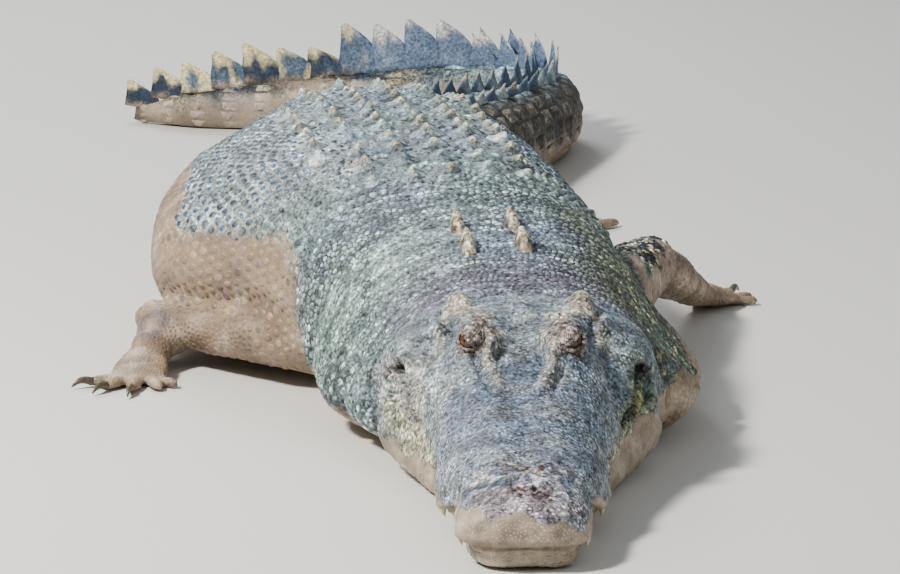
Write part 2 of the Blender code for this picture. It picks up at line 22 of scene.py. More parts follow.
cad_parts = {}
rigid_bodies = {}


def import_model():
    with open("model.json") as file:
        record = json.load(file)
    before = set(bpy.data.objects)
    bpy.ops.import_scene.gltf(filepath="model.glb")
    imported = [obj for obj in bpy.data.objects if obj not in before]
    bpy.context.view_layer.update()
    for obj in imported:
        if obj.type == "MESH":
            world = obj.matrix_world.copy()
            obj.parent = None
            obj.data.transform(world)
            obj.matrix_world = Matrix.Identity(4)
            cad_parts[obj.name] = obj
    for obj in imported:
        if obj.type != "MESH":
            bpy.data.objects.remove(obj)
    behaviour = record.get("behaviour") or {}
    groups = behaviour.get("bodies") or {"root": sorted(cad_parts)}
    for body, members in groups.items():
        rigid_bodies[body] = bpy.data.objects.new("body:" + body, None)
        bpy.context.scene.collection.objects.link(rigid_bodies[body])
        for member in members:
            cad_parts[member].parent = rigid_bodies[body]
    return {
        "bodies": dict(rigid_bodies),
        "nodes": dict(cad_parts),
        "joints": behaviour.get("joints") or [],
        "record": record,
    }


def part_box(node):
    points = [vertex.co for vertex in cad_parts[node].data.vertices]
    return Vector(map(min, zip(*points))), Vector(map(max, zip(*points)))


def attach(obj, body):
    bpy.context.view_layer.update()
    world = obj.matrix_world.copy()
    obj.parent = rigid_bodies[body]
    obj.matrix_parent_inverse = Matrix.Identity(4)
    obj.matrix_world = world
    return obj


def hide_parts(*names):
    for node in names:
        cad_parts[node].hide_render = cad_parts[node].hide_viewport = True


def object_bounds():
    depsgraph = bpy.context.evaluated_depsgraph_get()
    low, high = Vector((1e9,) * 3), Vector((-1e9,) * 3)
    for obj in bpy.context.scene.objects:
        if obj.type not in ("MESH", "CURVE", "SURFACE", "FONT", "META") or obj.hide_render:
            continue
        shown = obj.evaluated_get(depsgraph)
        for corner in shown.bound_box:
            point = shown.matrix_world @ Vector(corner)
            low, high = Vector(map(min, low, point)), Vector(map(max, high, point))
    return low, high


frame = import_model()
cad_low, cad_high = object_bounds()
print("solids:", len(frame["nodes"]), "box", [round(b - a, 3) for a, b in zip(cad_low, cad_high)])


# %% [markdown]
# The floor is pale and plain, and the light is a studio's: a lamp high on the left as
# the main light, a broad one behind, a weak one on the right and a pale sky.  The
# camera stands nearly eight metres in front of the snout, a little above a person's height,
# with a long lens, so the head looks large and the tail small but not far away.

# %% Camera, floor and light
CAMERA_AHEAD = 7.71        # metres in front of the snout's tip
CAMERA_HEIGHT = 2.17
CAMERA_ASIDE = -0.115      # from the head's midline, towards the animal's right
CAMERA_DOWN = 12.55        # degrees below the horizon
CAMERA_LENS = 208.0        # millimetres
SENSOR_WIDTH = 36.0        # millimetres
SKY_STRENGTH = 0.36
# Name, place, size in metres, watts and colour of each lamp.
LAMPS = (
    ("main_lamp", (-3.4, -2.6, 4.6), 0.8, 455, (1.0, 0.97, 0.92)),
    ("back_lamp", (-1.5, 4.6, 3.6), 2.0, 110, (0.95, 0.98, 1.0)),
    ("fill_lamp", (4.4, -3.6, 2.6), 3.5, 32, (0.92, 0.96, 1.0)),
)


def middle_of(*nodes):
    """The middle of several solids' boxes."""
    corners = [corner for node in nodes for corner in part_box(node)]
    return sum(corners, Vector()) / len(corners)


SNOUT = Vector((middle_of("eye_left", "eye_right").x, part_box("head")[0].y, 0.0))


def set_camera():
    """The scene's camera, at its own place in front of the snout."""
    data = bpy.data.cameras.new("camera")
    data.sensor_width = SENSOR_WIDTH
    data.lens = CAMERA_LENS
    data.clip_end = 100.0
    camera = bpy.data.objects.new("camera", data)
    camera.location = SNOUT + Vector((CAMERA_ASIDE, -CAMERA_AHEAD, CAMERA_HEIGHT))
    camera.rotation_euler = (math.radians(90 - CAMERA_DOWN), 0, 0)
    bpy.context.collection.objects.link(camera)
    bpy.context.scene.camera = camera
    return camera


def soft_lamp(name, place, target, size, watts, hue):
    """A square area lamp that looks at a point."""
    data = bpy.data.lights.new(name, "AREA")
    data.shape = "SQUARE"
    data.size = size
    data.energy = watts
    data.color = hue
    lamp = bpy.data.objects.new(name, data)
    lamp.location = place
    lamp.rotation_euler = (Vector(target) - Vector(place)).to_track_quat("-Z", "Y").to_euler()
    bpy.context.collection.objects.link(lamp)


def linear(hex_code):
    """An sRGB hex colour as linear red, green, blue."""
    parts = [int(hex_code[i:i + 2], 16) / 255 for i in (1, 3, 5)]
    return np.array([c / 12.92 if c <= 0.04045 else ((c + 0.055) / 1.055) ** 2.4 for c in parts])


camera = set_camera()
middle = (cad_low + cad_high) / 2
for name, place, size, watts, hue in LAMPS:
    soft_lamp(name, place, middle, size, watts, hue)
world = bpy.data.worlds.new("studio")
world.use_nodes = True
sky = world.node_tree.nodes["Background"]
sky.inputs["Color"].default_value = (*linear("#eef1f4"), 1)
sky.inputs["Strength"].default_value = SKY_STRENGTH
bpy.context.scene.world = world
bpy.context.scene.view_settings.view_transform = "AgX"
bpy.context.scene.view_settings.look = "AgX - Medium High Contrast"
print("camera at", [round(c, 2) for c in camera.location])


# %% [markdown]
# Every material here is a small graph of nodes.  One helper adds a node, sets its
# values and makes its links, so that a graph reads as a list of steps.  Every new piece
# is drawn as a bmesh, Blender's own workshop for meshes, so a few more helpers join two
# of them and turn one into an object.


# %% A helper for nodes
TIMES = {"operation": "MULTIPLY"}
TIMES_PLUS = {"operation": "MULTIPLY_ADD"}
LESS = {"operation": "SUBTRACT"}
LENGTH = {"operation": "LENGTH"}


def wire(made, **links):
    """Gives a node's sockets their values or sources.  i0 is the first socket, i1 the next."""
    for name, value in links.items():
        key = int(name[1:]) if name[0] == "i" and name[1:].isdigit() else name.replace("_", " ")
        if isinstance(value, bpy.types.NodeSocket):
            made.id_data.links.new(value, made.inputs[key])
        else:
            made.inputs[key].default_value = value


def node(tree, kind, settings=None, **links):
    """Adds a node.  settings are its own values, and links are its sockets' values or sources."""
    made = tree.nodes.new(kind)
    for name, value in (settings or {}).items():
        setattr(made, name, value)
    wire(made, **links)
    return made


def new_material(name):
    """A material, its Principled shader, and the helper that adds nodes to it."""
    material = bpy.data.materials.new(name)
    material.use_nodes = True
    tree = material.node_tree
    return material, tree.nodes["Principled BSDF"], partial(node, tree)


print("helpers for nodes ready")


# %% Pieces from a bmesh, and the floor
def object_from(bm, name):
    """A bmesh as an object at the origin."""
    mesh = bpy.data.meshes.new(name)
    bm.to_mesh(mesh)
    bm.free()
    piece = bpy.data.objects.new(name, mesh)
    bpy.context.collection.objects.link(piece)
    return piece


def smooth_object(bm, name):
    """A bmesh as a smooth-shaded object."""
    piece = object_from(bm, name)
    piece.data.shade_smooth()
    return piece


def move_into(bm, part):
    """Adds a small bmesh to a bigger one."""
    mesh = bpy.data.meshes.new("part")
    part.to_mesh(mesh)
    part.free()
    bm.from_mesh(mesh)
    bpy.data.meshes.remove(mesh)


def plain_floor():
    """A wide pale floor, which isn't part of the animal."""
    bm = bmesh.new()
    bmesh.ops.create_grid(bm, x_segments=1, y_segments=1, size=60.0)
    floor = object_from(bm, "floor")
    material, shader, _ = new_material("matt pale floor paint")
    wire(shader, Base_Color=(*linear("#d9d8d4"), 1), Roughness=0.8)
    floor.data.materials.append(material)


plain_floor()
print("floor and helpers ready")


# %% [markdown]
# The animal is drawn along a line on the ground, its spine.  A few rows of numbers say
# how the spine bends and how wide and high the body is along it.  They are the same
# named sizes that the solids were made from, so hide and solids agree everywhere.  A
# smooth curve runs through the rows, and it never overshoots them.

# %% The named sizes of the body
COAT = 0.005               # the hide lies this far inside the solids, and the scales fill it
FLOOR_CLEAR = 0.0035       # the hide stays this far off the ground, for the belly's scales
TOTAL_LENGTH = 4.6
SKULL_END = 0.7
RUMP_END = 2.46
WHORLS = 30                # rings of scales along the tail, each with its blades
CREST_JOIN = 3.8           # where the two rows of blades become one
WHORL = (TOTAL_LENGTH - RUMP_END) / WHORLS


def from_mm(value):
    """Metres from millimetres, for one number or for a table of any depth."""
    return value / 1000 if isinstance(value, (int, float)) else tuple(map(from_mm, value))


# Distance along the spine in metres, and heading in degrees from +Y towards +X.
HEADINGS = (
    (0.0, 0), (0.66, 0), (0.8, -9), (1.1, -13), (1.55, -10), (2.05, -8), (2.3, 0),
    (2.55, 16), (2.9, 22), (3.35, 20), (3.54, -2), (3.72, -52), (3.88, -84), (4.08, -92),
    (4.32, -88), (4.46, -72), (4.6, -52),
)
# In millimetres: distance, half width right and left, height of the back and of the widest level.
BODY = from_mm((
    (620, 225, 225, 284, 135), (700, 232, 232, 287, 135), (800, 238, 246, 294, 130),
    (950, 272, 278, 324, 130), (1100, 282, 302, 354, 140), (1300, 342, 306, 388, 160),
    (1550, 488, 304, 408, 170), (1800, 462, 300, 408, 165), (2020, 365, 285, 392, 160),
    (2250, 262, 240, 358, 150), (2460, 190, 185, 300, 130), (2750, 142, 142, 240, 105),
    (3050, 116, 116, 204, 88), (3400, 94, 94, 174, 76), (3750, 74, 74, 154, 68),
    (4000, 58, 58, 136, 60), (4250, 42, 42, 112, 50), (4480, 24, 24, 74, 34), (4600, 8, 8, 34, 16),
))
# Soft folds of the throat, spread on the ground behind the jaws, in millimetres: distance,
# how far they stand out on the right, and on the left.
THROAT = from_mm((
    (700, 0, 0), (760, 30, 56), (810, 44, 86), (900, 46, 96), (1000, 36, 92), (1100, 16, 78),
    (1200, 0, 48), (1320, 0, 14), (1450, 0, 0),
))
THROAT_TOP = (0.075, 0.08)     # full below the first height, and soft above it over the second
# In millimetres: distance, half width of the upper jaw, ridge, lips, half width of the lower jaw.
HEAD = from_mm((
    (0, 20, 62, 44, 12), (6, 48, 78, 38, 30), (20, 82, 99, 36, 62), (50, 104, 116, 36, 84),
    (90, 110, 126, 42, 92), (125, 107, 130, 54, 96), (155, 105, 137, 60, 98),
    (190, 119, 146, 52, 98), (240, 136, 156, 38, 104), (290, 141, 170, 40, 112),
    (350, 143, 190, 58, 124), (410, 151, 210, 72, 142), (470, 164, 232, 78, 162),
    (540, 188, 256, 98, 192), (610, 216, 274, 140, 222), (660, 230, 281, 158, 234),
    (700, 232, 283, 160, 234),
))
CHIN_LENGTH = 0.085


def table_at(table, column, distance):
    """Values of a table at many distances, on a smooth curve through its rows."""
    places = np.array([row[0] for row in table], float)
    values = np.array([row[column] for row in table], float)
    slopes = np.gradient(values, places)
    distance = np.atleast_1d(np.asarray(distance, float))
    k = np.clip(np.searchsorted(places, distance) - 1, 0, len(places) - 2)
    run = places[k + 1] - places[k]
    t = np.clip((distance - places[k]) / run, 0, 1)
    rise = values[k + 1] - values[k]
    near, far = slopes[k] * run, slopes[k + 1] * run
    near = np.where(rise * near <= 0, 0, np.sign(rise) * np.minimum(abs(near), 3 * abs(rise)))
    far = np.where(rise * far <= 0, 0, np.sign(rise) * np.minimum(abs(far), 3 * abs(rise)))
    return (values[k] + near * t + (3 * rise - 2 * near - far) * t ** 2
            + (near + far - 2 * rise) * t ** 3)


def size_at(table, column, distance):
    """One value of a table."""
    return float(table_at(table, column, distance)[0])


def by_side(table, distance, side):
    """Values of a table that has the right side's first and then the left side's."""
    return np.where(side < 0, table_at(table, 1, distance), table_at(table, 2, distance))


print("body", TOTAL_LENGTH, "m long, at its widest",
      round(max(right + left for _, right, left, _, _ in BODY), 3), "m")


# %% The spine as a line of points
SPINE_STEP = 0.005
spine_places = np.arange(0, TOTAL_LENGTH + SPINE_STEP / 2, SPINE_STEP)
headings = np.radians(table_at(HEADINGS, 1, spine_places))
spine_ahead = np.stack([np.sin(headings), np.cos(headings)], 1)
spine_points = np.cumsum(np.vstack([[0, 0], spine_ahead[:-1] * SPINE_STEP]), axis=0)
spine_points += (SNOUT.x, SNOUT.y)


def on_spine(distance, side, height):
    """World points.  side is positive towards the animal's left, which is +X at the head."""
    distance, side, height = np.broadcast_arrays(distance, side, height)
    place = np.clip(distance / SPINE_STEP, 0, len(spine_points) - 1.001)
    k = place.astype(int)
    t = (place - k)[..., None]
    point = spine_points[k] * (1 - t) + spine_points[k + 1] * t
    ahead = spine_ahead[k] * (1 - t) + spine_ahead[k + 1] * t
    ahead /= np.linalg.norm(ahead, axis=-1, keepdims=True)
    across = np.stack([ahead[..., 1], -ahead[..., 0]], -1)
    extra = (distance - np.clip(distance, 0, TOTAL_LENGTH))[..., None]
    flat = point + across * side[..., None] + ahead * extra
    return np.concatenate([flat, height[..., None]], -1)


def along_spine(points):
    """The distance and the side of world points, from the nearest place on the spine."""
    flat = np.asarray(points)[:, :2]
    distance = np.empty(len(flat))
    side = np.empty(len(flat))
    for start in range(0, len(flat), 4000):
        part = flat[start:start + 4000]
        gap = ((part[:, None] - spine_points[None, ::4]) ** 2).sum(-1)
        k = np.minimum(gap.argmin(1) * 4, len(spine_points) - 1)
        away = part - spine_points[k]
        distance[start:start + 4000] = k * SPINE_STEP + (away * spine_ahead[k]).sum(1)
        side[start:start + 4000] = away[:, 0] * spine_ahead[k, 1] - away[:, 1] * spine_ahead[k, 0]
    return distance, side


print("spine ends at", np.round(spine_points[-1], 3))


# %% [markdown]
# Cross-sections come next.  The trunk's is a soft box: wide, a little flattened on top,
# flatter still below, where it lies on the ground.  The tail's is taller than wide.
# The upper jaw is an arch and the lower jaw a trough under it.


# %% Cross-sections of trunk, tail and head
def power(value, exponent):
    """A power that keeps the value's sign."""
    return np.sign(value) * np.abs(value) ** exponent


def throat_fold(distance, side, height):
    """How far a throat fold moves a point of the neck outwards."""
    above = np.clip(height - THROAT_TOP[0], 0, None) / THROAT_TOP[1]
    return by_side(THROAT, distance, side) * np.exp(-above ** 2)


def body_point(distance, angle, grow=0.0):
    """World points of neck, trunk and tail.  angle 0 is the right side, and a quarter turn the back."""
    distance, angle = np.broadcast_arrays(np.asarray(distance, float), np.asarray(angle, float))
    shape = distance.shape
    flat = distance.ravel()
    right, left, back, level = (table_at(BODY, c, flat).reshape(shape) for c in (1, 2, 3, 4))
    tail = np.clip((distance - RUMP_END + 0.15) / 0.3, 0, 1)
    cosine, sine = np.cos(angle), np.sin(angle)
    width = np.where(cosine > 0, right, left) + grow
    side = -power(cosine, 0.86 - 0.06 * tail) * width
    above = level + (back - level + grow) * power(sine, 0.9 - 0.08 * tail)
    below = level + (level + 0.012 + grow) * power(sine, 0.62 + 0.18 * tail)
    height = np.where(sine >= 0, above, below)
    fold = throat_fold(flat, side.ravel(), height.ravel()).reshape(shape)
    side = side + np.sign(side) * fold * np.minimum(1, 3 * abs(cosine))
    return on_spine(distance, side, height)


HEAD_MARKS = (   # distance, from the midline, length, width, height
    (0.088, 0.0, 0.034, 0.05, 0.014),      # the mound of the nostrils
    (0.508, 0.074, 0.043, 0.037, 0.05),    # the dome over each eye
    (0.68, 0.102, 0.03, 0.025, 0.022),     # corner of the skull table
    (0.59, 0.092, 0.06, 0.016, 0.012),     # edge of the skull table
    (0.6, 0.14, 0.07, 0.026, -0.02),       # hollow of the temple
    (0.215, 0.066, 0.03, 0.026, 0.008),    # swelling over the big upper teeth
)


def mark_height(mark, distance, side):
    """Height that one raised place adds, on both sides of the head."""
    place, across, length, width, height = mark
    nearest = np.minimum(abs(side - across), abs(side + across))
    return height * np.exp(-((distance - place) / length) ** 2 - (nearest / width) ** 2)


def upper_section(distance, columns):
    """Skull and upper jaw: an arch over the top and a flat palate."""
    half, ridge, lips = (table_at(HEAD, c, distance)[:, None] for c in (1, 2, 3))
    place = distance[:, None]
    flatness = 0.62 + 0.2 * np.minimum(1, place / SKULL_END)
    angle = np.pi * (np.arange(columns) + 0.5)[None] / columns
    side = -(half - COAT) * power(np.cos(angle), 0.88)
    height = lips - 0.004 + (ridge - lips + 0.004 - COAT) * np.sin(angle) ** flatness
    for mark in HEAD_MARKS:
        height = height + mark_height(mark, place, side)
    shares = np.array([0.86, 0.45, 0.0, -0.45, -0.86])[None]
    side = np.concatenate([side, (half - COAT) * shares], 1)
    height = np.concatenate([height, lips - 0.004 + 0 * shares], 1)
    return on_spine(place + 0 * side, side, height)


def lower_section(distance, columns):
    """Lower jaw: a trough, flat where it meets the upper one and flat on the ground."""
    lips, half = (table_at(HEAD, c, distance)[:, None] for c in (3, 4))
    place = distance[:, None]
    chin = 1 - np.maximum(0, 1 - place / CHIN_LENGTH) ** 2
    angle = np.pi * (np.arange(columns) + 0.5)[None] / columns
    side = -(half - COAT) * power(np.cos(angle), 0.7)
    height = lips * 0.55 - (lips * 0.55 + 0.012) * chin * np.sin(angle) ** 0.6
    shares = np.array([0.93, 0.5, 0.0, -0.5, -0.93])[None]
    side = np.concatenate([(half - COAT) * shares, side], 1)
    height = np.concatenate([lips + 0.001 + 0 * shares, height], 1)
    return on_spine(place + 0 * side, side, height)


print("head", round(size_at(HEAD, 2, SKULL_END), 3), "m high at the back of the skull, with",
      len(HEAD_MARKS), "raised or hollow places")


# %% [markdown]
# A tube of flesh is a flat grid rolled up: Blender's grid gives the faces, and each
# corner is put at its place on its cross-section.  The long edges then meet and are
# merged, and the two ends are closed.


# %% Rolling a grid into a closed tube
BODY_COLUMNS, UPPER_COLUMNS, LOWER_COLUMNS, LEG_COLUMNS = 88, 72, 48, 28


def rolled_grid(bm, sections):
    """Adds a closed tube through cross-sections, an array of rings of world points."""
    rings, columns = sections.shape[:2]
    made = bmesh.ops.create_grid(bm, x_segments=columns, y_segments=rings - 1, size=1.0)["verts"]
    for vert in made:
        column = round((vert.co.x + 1) / 2 * columns) % columns
        ring = round((vert.co.y + 1) / 2 * (rings - 1))
        vert.co = sections[ring, column]
    bmesh.ops.remove_doubles(bm, verts=made, dist=1e-6)
    rims = [edge for edge in bm.edges if edge.is_boundary]
    bmesh.ops.holes_fill(bm, edges=rims, sides=0)
    bmesh.ops.recalc_face_normals(bm, faces=bm.faces)


def add_tube(bm, sections):
    """Adds a closed tube to a bigger bmesh."""
    part = bmesh.new()
    rolled_grid(part, sections)
    move_into(bm, part)


def ring_angles(count, shift=0.5):
    """Angles of points evenly spaced round a tube."""
    return 2 * np.pi * (np.arange(count) + shift) / count


def lift_off_floor(sections):
    """Nothing of the hide reaches lower than the belly's scales allow."""
    sections[..., 2] = np.maximum(sections[..., 2], FLOOR_CLEAR)
    return sections


def flesh_of_body():
    """The tube of neck, trunk and tail."""
    distances = np.arange(0.6, TOTAL_LENGTH - 0.004, 0.012)
    angles = ring_angles(BODY_COLUMNS)
    return lift_off_floor(body_point(distances[:, None], angles[None], -COAT))


def flesh_of_head():
    """The tubes of the upper and the lower jaw."""
    distances = np.concatenate([[0.006, 0.009, 0.014], np.arange(0.02, 0.72, 0.008)])
    upper = upper_section(distances, UPPER_COLUMNS)
    lower = lower_section(distances[2:], LOWER_COLUMNS)
    return lift_off_floor(upper), lift_off_floor(lower)


print("cross-sections ready")


# %% [markdown]
# Legs are tubes between their joints, thick at shoulder and thigh, slim at the wrist.
# Toes are short tubes that fan out from the foot and lie on the ground.  The hind
# foot's toes have webs between them.

# %% The named sizes of the legs
# A shape is rows of share of the length, half width and half height.
UPPER_ARM = ((-0.1, 0.03, 0.03), (0.0, 0.072, 0.07), (0.25, 0.084, 0.08),
             (0.6, 0.07, 0.066), (0.92, 0.058, 0.054), (1.08, 0.045, 0.044), (1.18, 0.018, 0.018))
FOREARM = ((-0.04, 0.02, 0.02), (0.08, 0.04, 0.038), (0.35, 0.055, 0.048),
           (0.65, 0.045, 0.038), (0.95, 0.038, 0.031), (1.12, 0.024, 0.02))
THIGH = ((-0.1, 0.04, 0.04), (0.0, 0.094, 0.092), (0.3, 0.112, 0.104),
         (0.65, 0.092, 0.086), (0.94, 0.068, 0.064), (1.08, 0.05, 0.046), (1.17, 0.02, 0.02))
SHANK = ((-0.04, 0.022, 0.022), (0.1, 0.048, 0.044), (0.34, 0.066, 0.058),
         (0.65, 0.052, 0.046), (0.95, 0.042, 0.036), (1.1, 0.026, 0.022))
PALM = ((-0.2, 0.02, 0.014), (0.0, 0.036, 0.027), (0.35, 0.046, 0.025),
        (0.75, 0.054, 0.021), (1.0, 0.05, 0.017), (1.12, 0.034, 0.01))
SOLE = ((-0.16, 0.022, 0.016), (0.0, 0.038, 0.032), (0.35, 0.044, 0.027),
        (0.75, 0.058, 0.021), (1.0, 0.062, 0.015), (1.12, 0.046, 0.009))
TOE = ((0.0, 1.0), (0.32, 0.92), (0.62, 1.0), (0.9, 0.84), (1.0, 0.5))

# Joints, in millimetres from the snout's tip: shoulder or hip, elbow or knee, wrist or ankle,
# root of the toes.
LEGS = {
    "arm_right": from_mm(((-240, 1120, 115), (-612, 1440, 72), (-655, 1330, 36), (-668, 1240, 14))),
    "arm_left": from_mm(((130, 1180, 155), (250, 1620, 138), (345, 1800, 42), (388, 1892, 14))),
    "leg_right": from_mm(((-340, 2280, 120), (-562, 2130, 95), (-562, 2400, 40), (-580, 2520, 15))),
    "leg_left": from_mm(((-130, 2280, 120), (80, 2150, 95), (80, 2420, 40), (100, 2540, 15))),
}
# Toes: spread from the foot's own line in degrees, length, root radius, has a claw.
FINGERS = ((-52, 0.062, 0.0135, True), (-24, 0.078, 0.0145, True), (2, 0.084, 0.0145, True),
           (30, 0.074, 0.0125, False), (58, 0.056, 0.011, False))
TOES = ((-30, 0.1, 0.0165, True), (-8, 0.128, 0.0175, True), (15, 0.134, 0.017, True),
        (38, 0.116, 0.014, False))
CLAW_LENGTH = 0.036
TOE_HEIGHT = 0.01
TOE_ROOT_INSIDE = 0.012
WEB_THICK = 0.009
SKIN_OF_LEG = 0.0025       # the legs' scales are thinner than the back's
SKIN_OF_TOE = 0.001


def joints_of(leg):
    """A leg's joints as world points."""
    return [SNOUT + Vector(joint) for joint in LEGS[leg]]


def tube_frame(start, end):
    """Directions along, across and up from a tube's line."""
    ahead = (end - start).normalized()
    across = ahead.cross(Vector((0, 0, 1))).normalized()
    return np.array(ahead), np.array(across), np.array(across.cross(ahead))


def tube_point(start, end, shape, share, angle, grow=0.0):
    """World points on a limb's surface, at a share of its length and an angle round it."""
    share, angle = np.broadcast_arrays(np.asarray(share, float), np.asarray(angle, float))
    _, across, upward = tube_frame(start, end)
    width = table_at(shape, 1, share.ravel()).reshape(share.shape) + grow
    height = table_at(shape, 2, share.ravel()).reshape(share.shape) + grow
    centre = np.array(start) + np.array(end - start) * share[..., None]
    return (centre + across * (np.cos(angle) * width)[..., None]
            + upward * (np.sin(angle) * height)[..., None])


def lengths_of(leg):
    """The three lengths of a leg: start, end and shape."""
    joints = joints_of(leg)
    shapes = (UPPER_ARM, FOREARM, PALM) if leg.startswith("arm") else (THIGH, SHANK, SOLE)
    return list(zip(joints, joints[1:], shapes))


def toes_of(leg):
    """Each toe of a foot: start, end, direction, radius and whether it has a claw."""
    wrist, root = joints_of(leg)[2:]
    heading = math.atan2(root.x - wrist.x, root.y - wrist.y)
    across = Vector((math.cos(heading), -math.sin(heading), 0))
    digits, palm = (FINGERS, PALM) if leg.startswith("arm") else (TOES, SOLE)
    turn = -1 if leg.endswith("right") else 1
    found = []
    for count, (spread, length, radius, clawed) in enumerate(digits):
        side = (2 * count / (len(digits) - 1) - 1) * turn * palm[4][1] * 0.8
        angle = heading + math.radians(spread) * turn
        ahead = Vector((math.sin(angle), math.cos(angle), 0))
        start = root + across * side
        start.z = TOE_HEIGHT
        start -= ahead * TOE_ROOT_INSIDE
        found.append((start, start + ahead * length, ahead, radius, clawed))
    return found


def toe_shape(radius):
    """A toe's shape, from its root's radius."""
    return [(share, radius * size, radius * size * 0.92) for share, size in TOE]


def flesh_of_leg(leg):
    """Closed tubes for the lengths and the toes of one leg."""
    angles = ring_angles(LEG_COLUMNS)[None]
    tubes = []
    for start, end, shape in lengths_of(leg):
        shares = np.linspace(shape[0][0], shape[-1][0], 36)[:, None]
        tubes.append(tube_point(start, end, shape, shares, angles, -SKIN_OF_LEG))
    for start, end, _, radius, _ in toes_of(leg):
        shares = np.linspace(0, 1, 24)[:, None]
        tubes.append(tube_point(start, end, toe_shape(radius), shares, angles, -SKIN_OF_TOE))
    return [lift_off_floor(tube) for tube in tubes]


def webs_of(leg):
    """Flat wedges of web between neighbouring hind toes."""
    toes = toes_of(leg)
    wedges = []
    for one, other in zip(toes, toes[1:]):
        near = [one[0], other[0]]
        far = [one[0].lerp(one[1], 0.62), other[0].lerp(other[1], 0.62)]
        hollow = (far[0] + far[1]) / 2 * 0.72 + (near[0] + near[1]) / 2 * 0.28
        wedges.append((near[0], near[1], far[1], hollow, far[0]))
    return wedges


def add_web(bm, corners):
    """One wedge of web, a few millimetres thick."""
    base = [bm.verts.new((corner.x, corner.y, FLOOR_CLEAR)) for corner in corners]
    face = bm.faces.new(base)
    lifted = bmesh.ops.extrude_face_region(bm, geom=[face])["geom"]
    top = [v for v in lifted if isinstance(v, bmesh.types.BMVert)]
    bmesh.ops.translate(bm, verts=top, vec=(0, 0, WEB_THICK))


print("lengths of the legs", {leg: round(sum((end - start).length for start, end, _ in lengths_of(leg)), 3)
                              for leg in LEGS})


# %% [markdown]
# All the tubes are joined and the whole is remeshed: Blender fills the shape with small
# cubes and draws one closed surface round them.  Legs then grow out of the trunk and
# toes out of the feet with no seam, as on the living animal.

# %% One surface round all the flesh
VOXEL = 0.0058


def apply_modifiers(piece):
    """Replaces a piece's mesh with what its modifiers make of it."""
    graph = bpy.context.evaluated_depsgraph_get()
    mesh = bpy.data.meshes.new_from_object(piece.evaluated_get(graph))
    mesh.name = piece.name
    piece.modifiers.clear()
    piece.vertex_groups.clear()
    piece.data = mesh


def flesh_surface():
    """The joined, remeshed and slightly smoothed flesh."""
    bm = bmesh.new()
    tubes = [flesh_of_body(), *flesh_of_head()]
    for leg in LEGS:
        tubes += flesh_of_leg(leg)
    for sections in tubes:
        add_tube(bm, sections)
    for leg in ("leg_right", "leg_left"):
        for corners in webs_of(leg):
            add_web(bm, corners)
    piece = object_from(bm, "hide")
    remesh = piece.modifiers.new("one surface", "REMESH")
    remesh.mode = "VOXEL"
    remesh.voxel_size = VOXEL
    smooth = piece.modifiers.new("soften", "SMOOTH")
    smooth.factor = 0.5
    smooth.iterations = 5
    bpy.context.view_layer.update()
    apply_modifiers(piece)
    return piece


hide = flesh_surface()
print("hide:", len(hide.data.vertices), "points,", len(hide.data.polygons), "faces")


# %% [markdown]
# The remeshed hide is smooth.  Real hide has folds and ridges, so every point is moved
# a few millimetres in or out by a handful of named features: the mouth's line, the
# ridges before the eyes, the edges of the skull table, the ear slits, the jowls and the
# creases of the neck.  First the head's faces are made finer, to take small shapes.

# %% Tools for shaping the hide
def seeded(number):
    """A source of random numbers that gives the same ones at every run."""
    return np.random.default_rng(number)


def ripple(points, size, seed, waves=9):
    """Smooth noise between about -1 and 1, with bumps about as wide as size, in metres."""
    random = seeded(seed)
    total = np.zeros(len(points))
    for _ in range(waves):
        direction = random.normal(size=3)
        direction *= random.uniform(0.7, 1.4) * math.pi / size / np.linalg.norm(direction)
        total += np.sin(points @ direction + random.uniform(0, 6.28))
    return total / math.sqrt(waves)


def step_up(value, low, high):
    """0 below low, 1 above high, and smooth between."""
    t = np.clip((value - low) / (high - low), 0, 1)
    return t * t * (3 - 2 * t)


def stretch(value, start, full, fade, end):
    """0 before start and after end, 1 from full to fade, and smooth between."""
    return step_up(value, start, full) * (1 - step_up(value, fade, end))


def near_path(along, across, path):
    """Distance in a plane from points to a line through a few corners."""
    best = np.full(len(along), 9.0)
    for (a0, b0), (a1, b1) in zip(path, path[1:]):
        run = (a1 - a0) ** 2 + (b1 - b0) ** 2
        t = np.clip(((along - a0) * (a1 - a0) + (across - b0) * (b1 - b0)) / run, 0, 1)
        best = np.minimum(best, np.hypot(along - a0 - t * (a1 - a0), across - b0 - t * (b1 - b0)))
    return best


def bell(distance, width):
    """1 at a distance of 0, falling to nothing within about twice the width."""
    return np.exp(-(distance / width) ** 2)


def away_from(points, place):
    """How far each point is from one place."""
    return np.linalg.norm(points - np.array(place), axis=1)


def mesh_arrays(mesh):
    """A mesh's points and point normals."""
    points = np.empty(len(mesh.vertices) * 3)
    mesh.vertices.foreach_get("co", points)
    normals = np.empty(len(mesh.vertices) * 3)
    mesh.vertex_normals.foreach_get("vector", normals)
    return points.reshape(-1, 3), normals.reshape(-1, 3)


print("a smooth step, a quarter of the way up its slope", float(step_up(0.25, 0, 1)))


# %% Finer faces on the head
HEAD_DETAIL_END = 0.74


def refine_head(piece):
    """Cuts each face of the head in four."""
    points, _ = mesh_arrays(piece.data)
    distance, _ = along_spine(points)
    fine = (distance < HEAD_DETAIL_END) & (points[:, 2] > 0.012)
    bm = bmesh.new()
    bm.from_mesh(piece.data)
    bm.verts.ensure_lookup_table()
    edges = [e for e in bm.edges if fine[e.verts[0].index] and fine[e.verts[1].index]]
    bmesh.ops.subdivide_edges(bm, edges=edges, cuts=1, use_grid_fill=True, smooth=0.0)
    bm.to_mesh(piece.data)
    bm.free()


refine_head(hide)
print("hide with a fine head:", len(hide.data.polygons), "faces")


# %% [markdown]
# The features of the head are given in plan: how far along the head and how far from
# its midline.  A ridge is a line with a soft bell-shaped profile, and a crease is the
# same with a negative height.

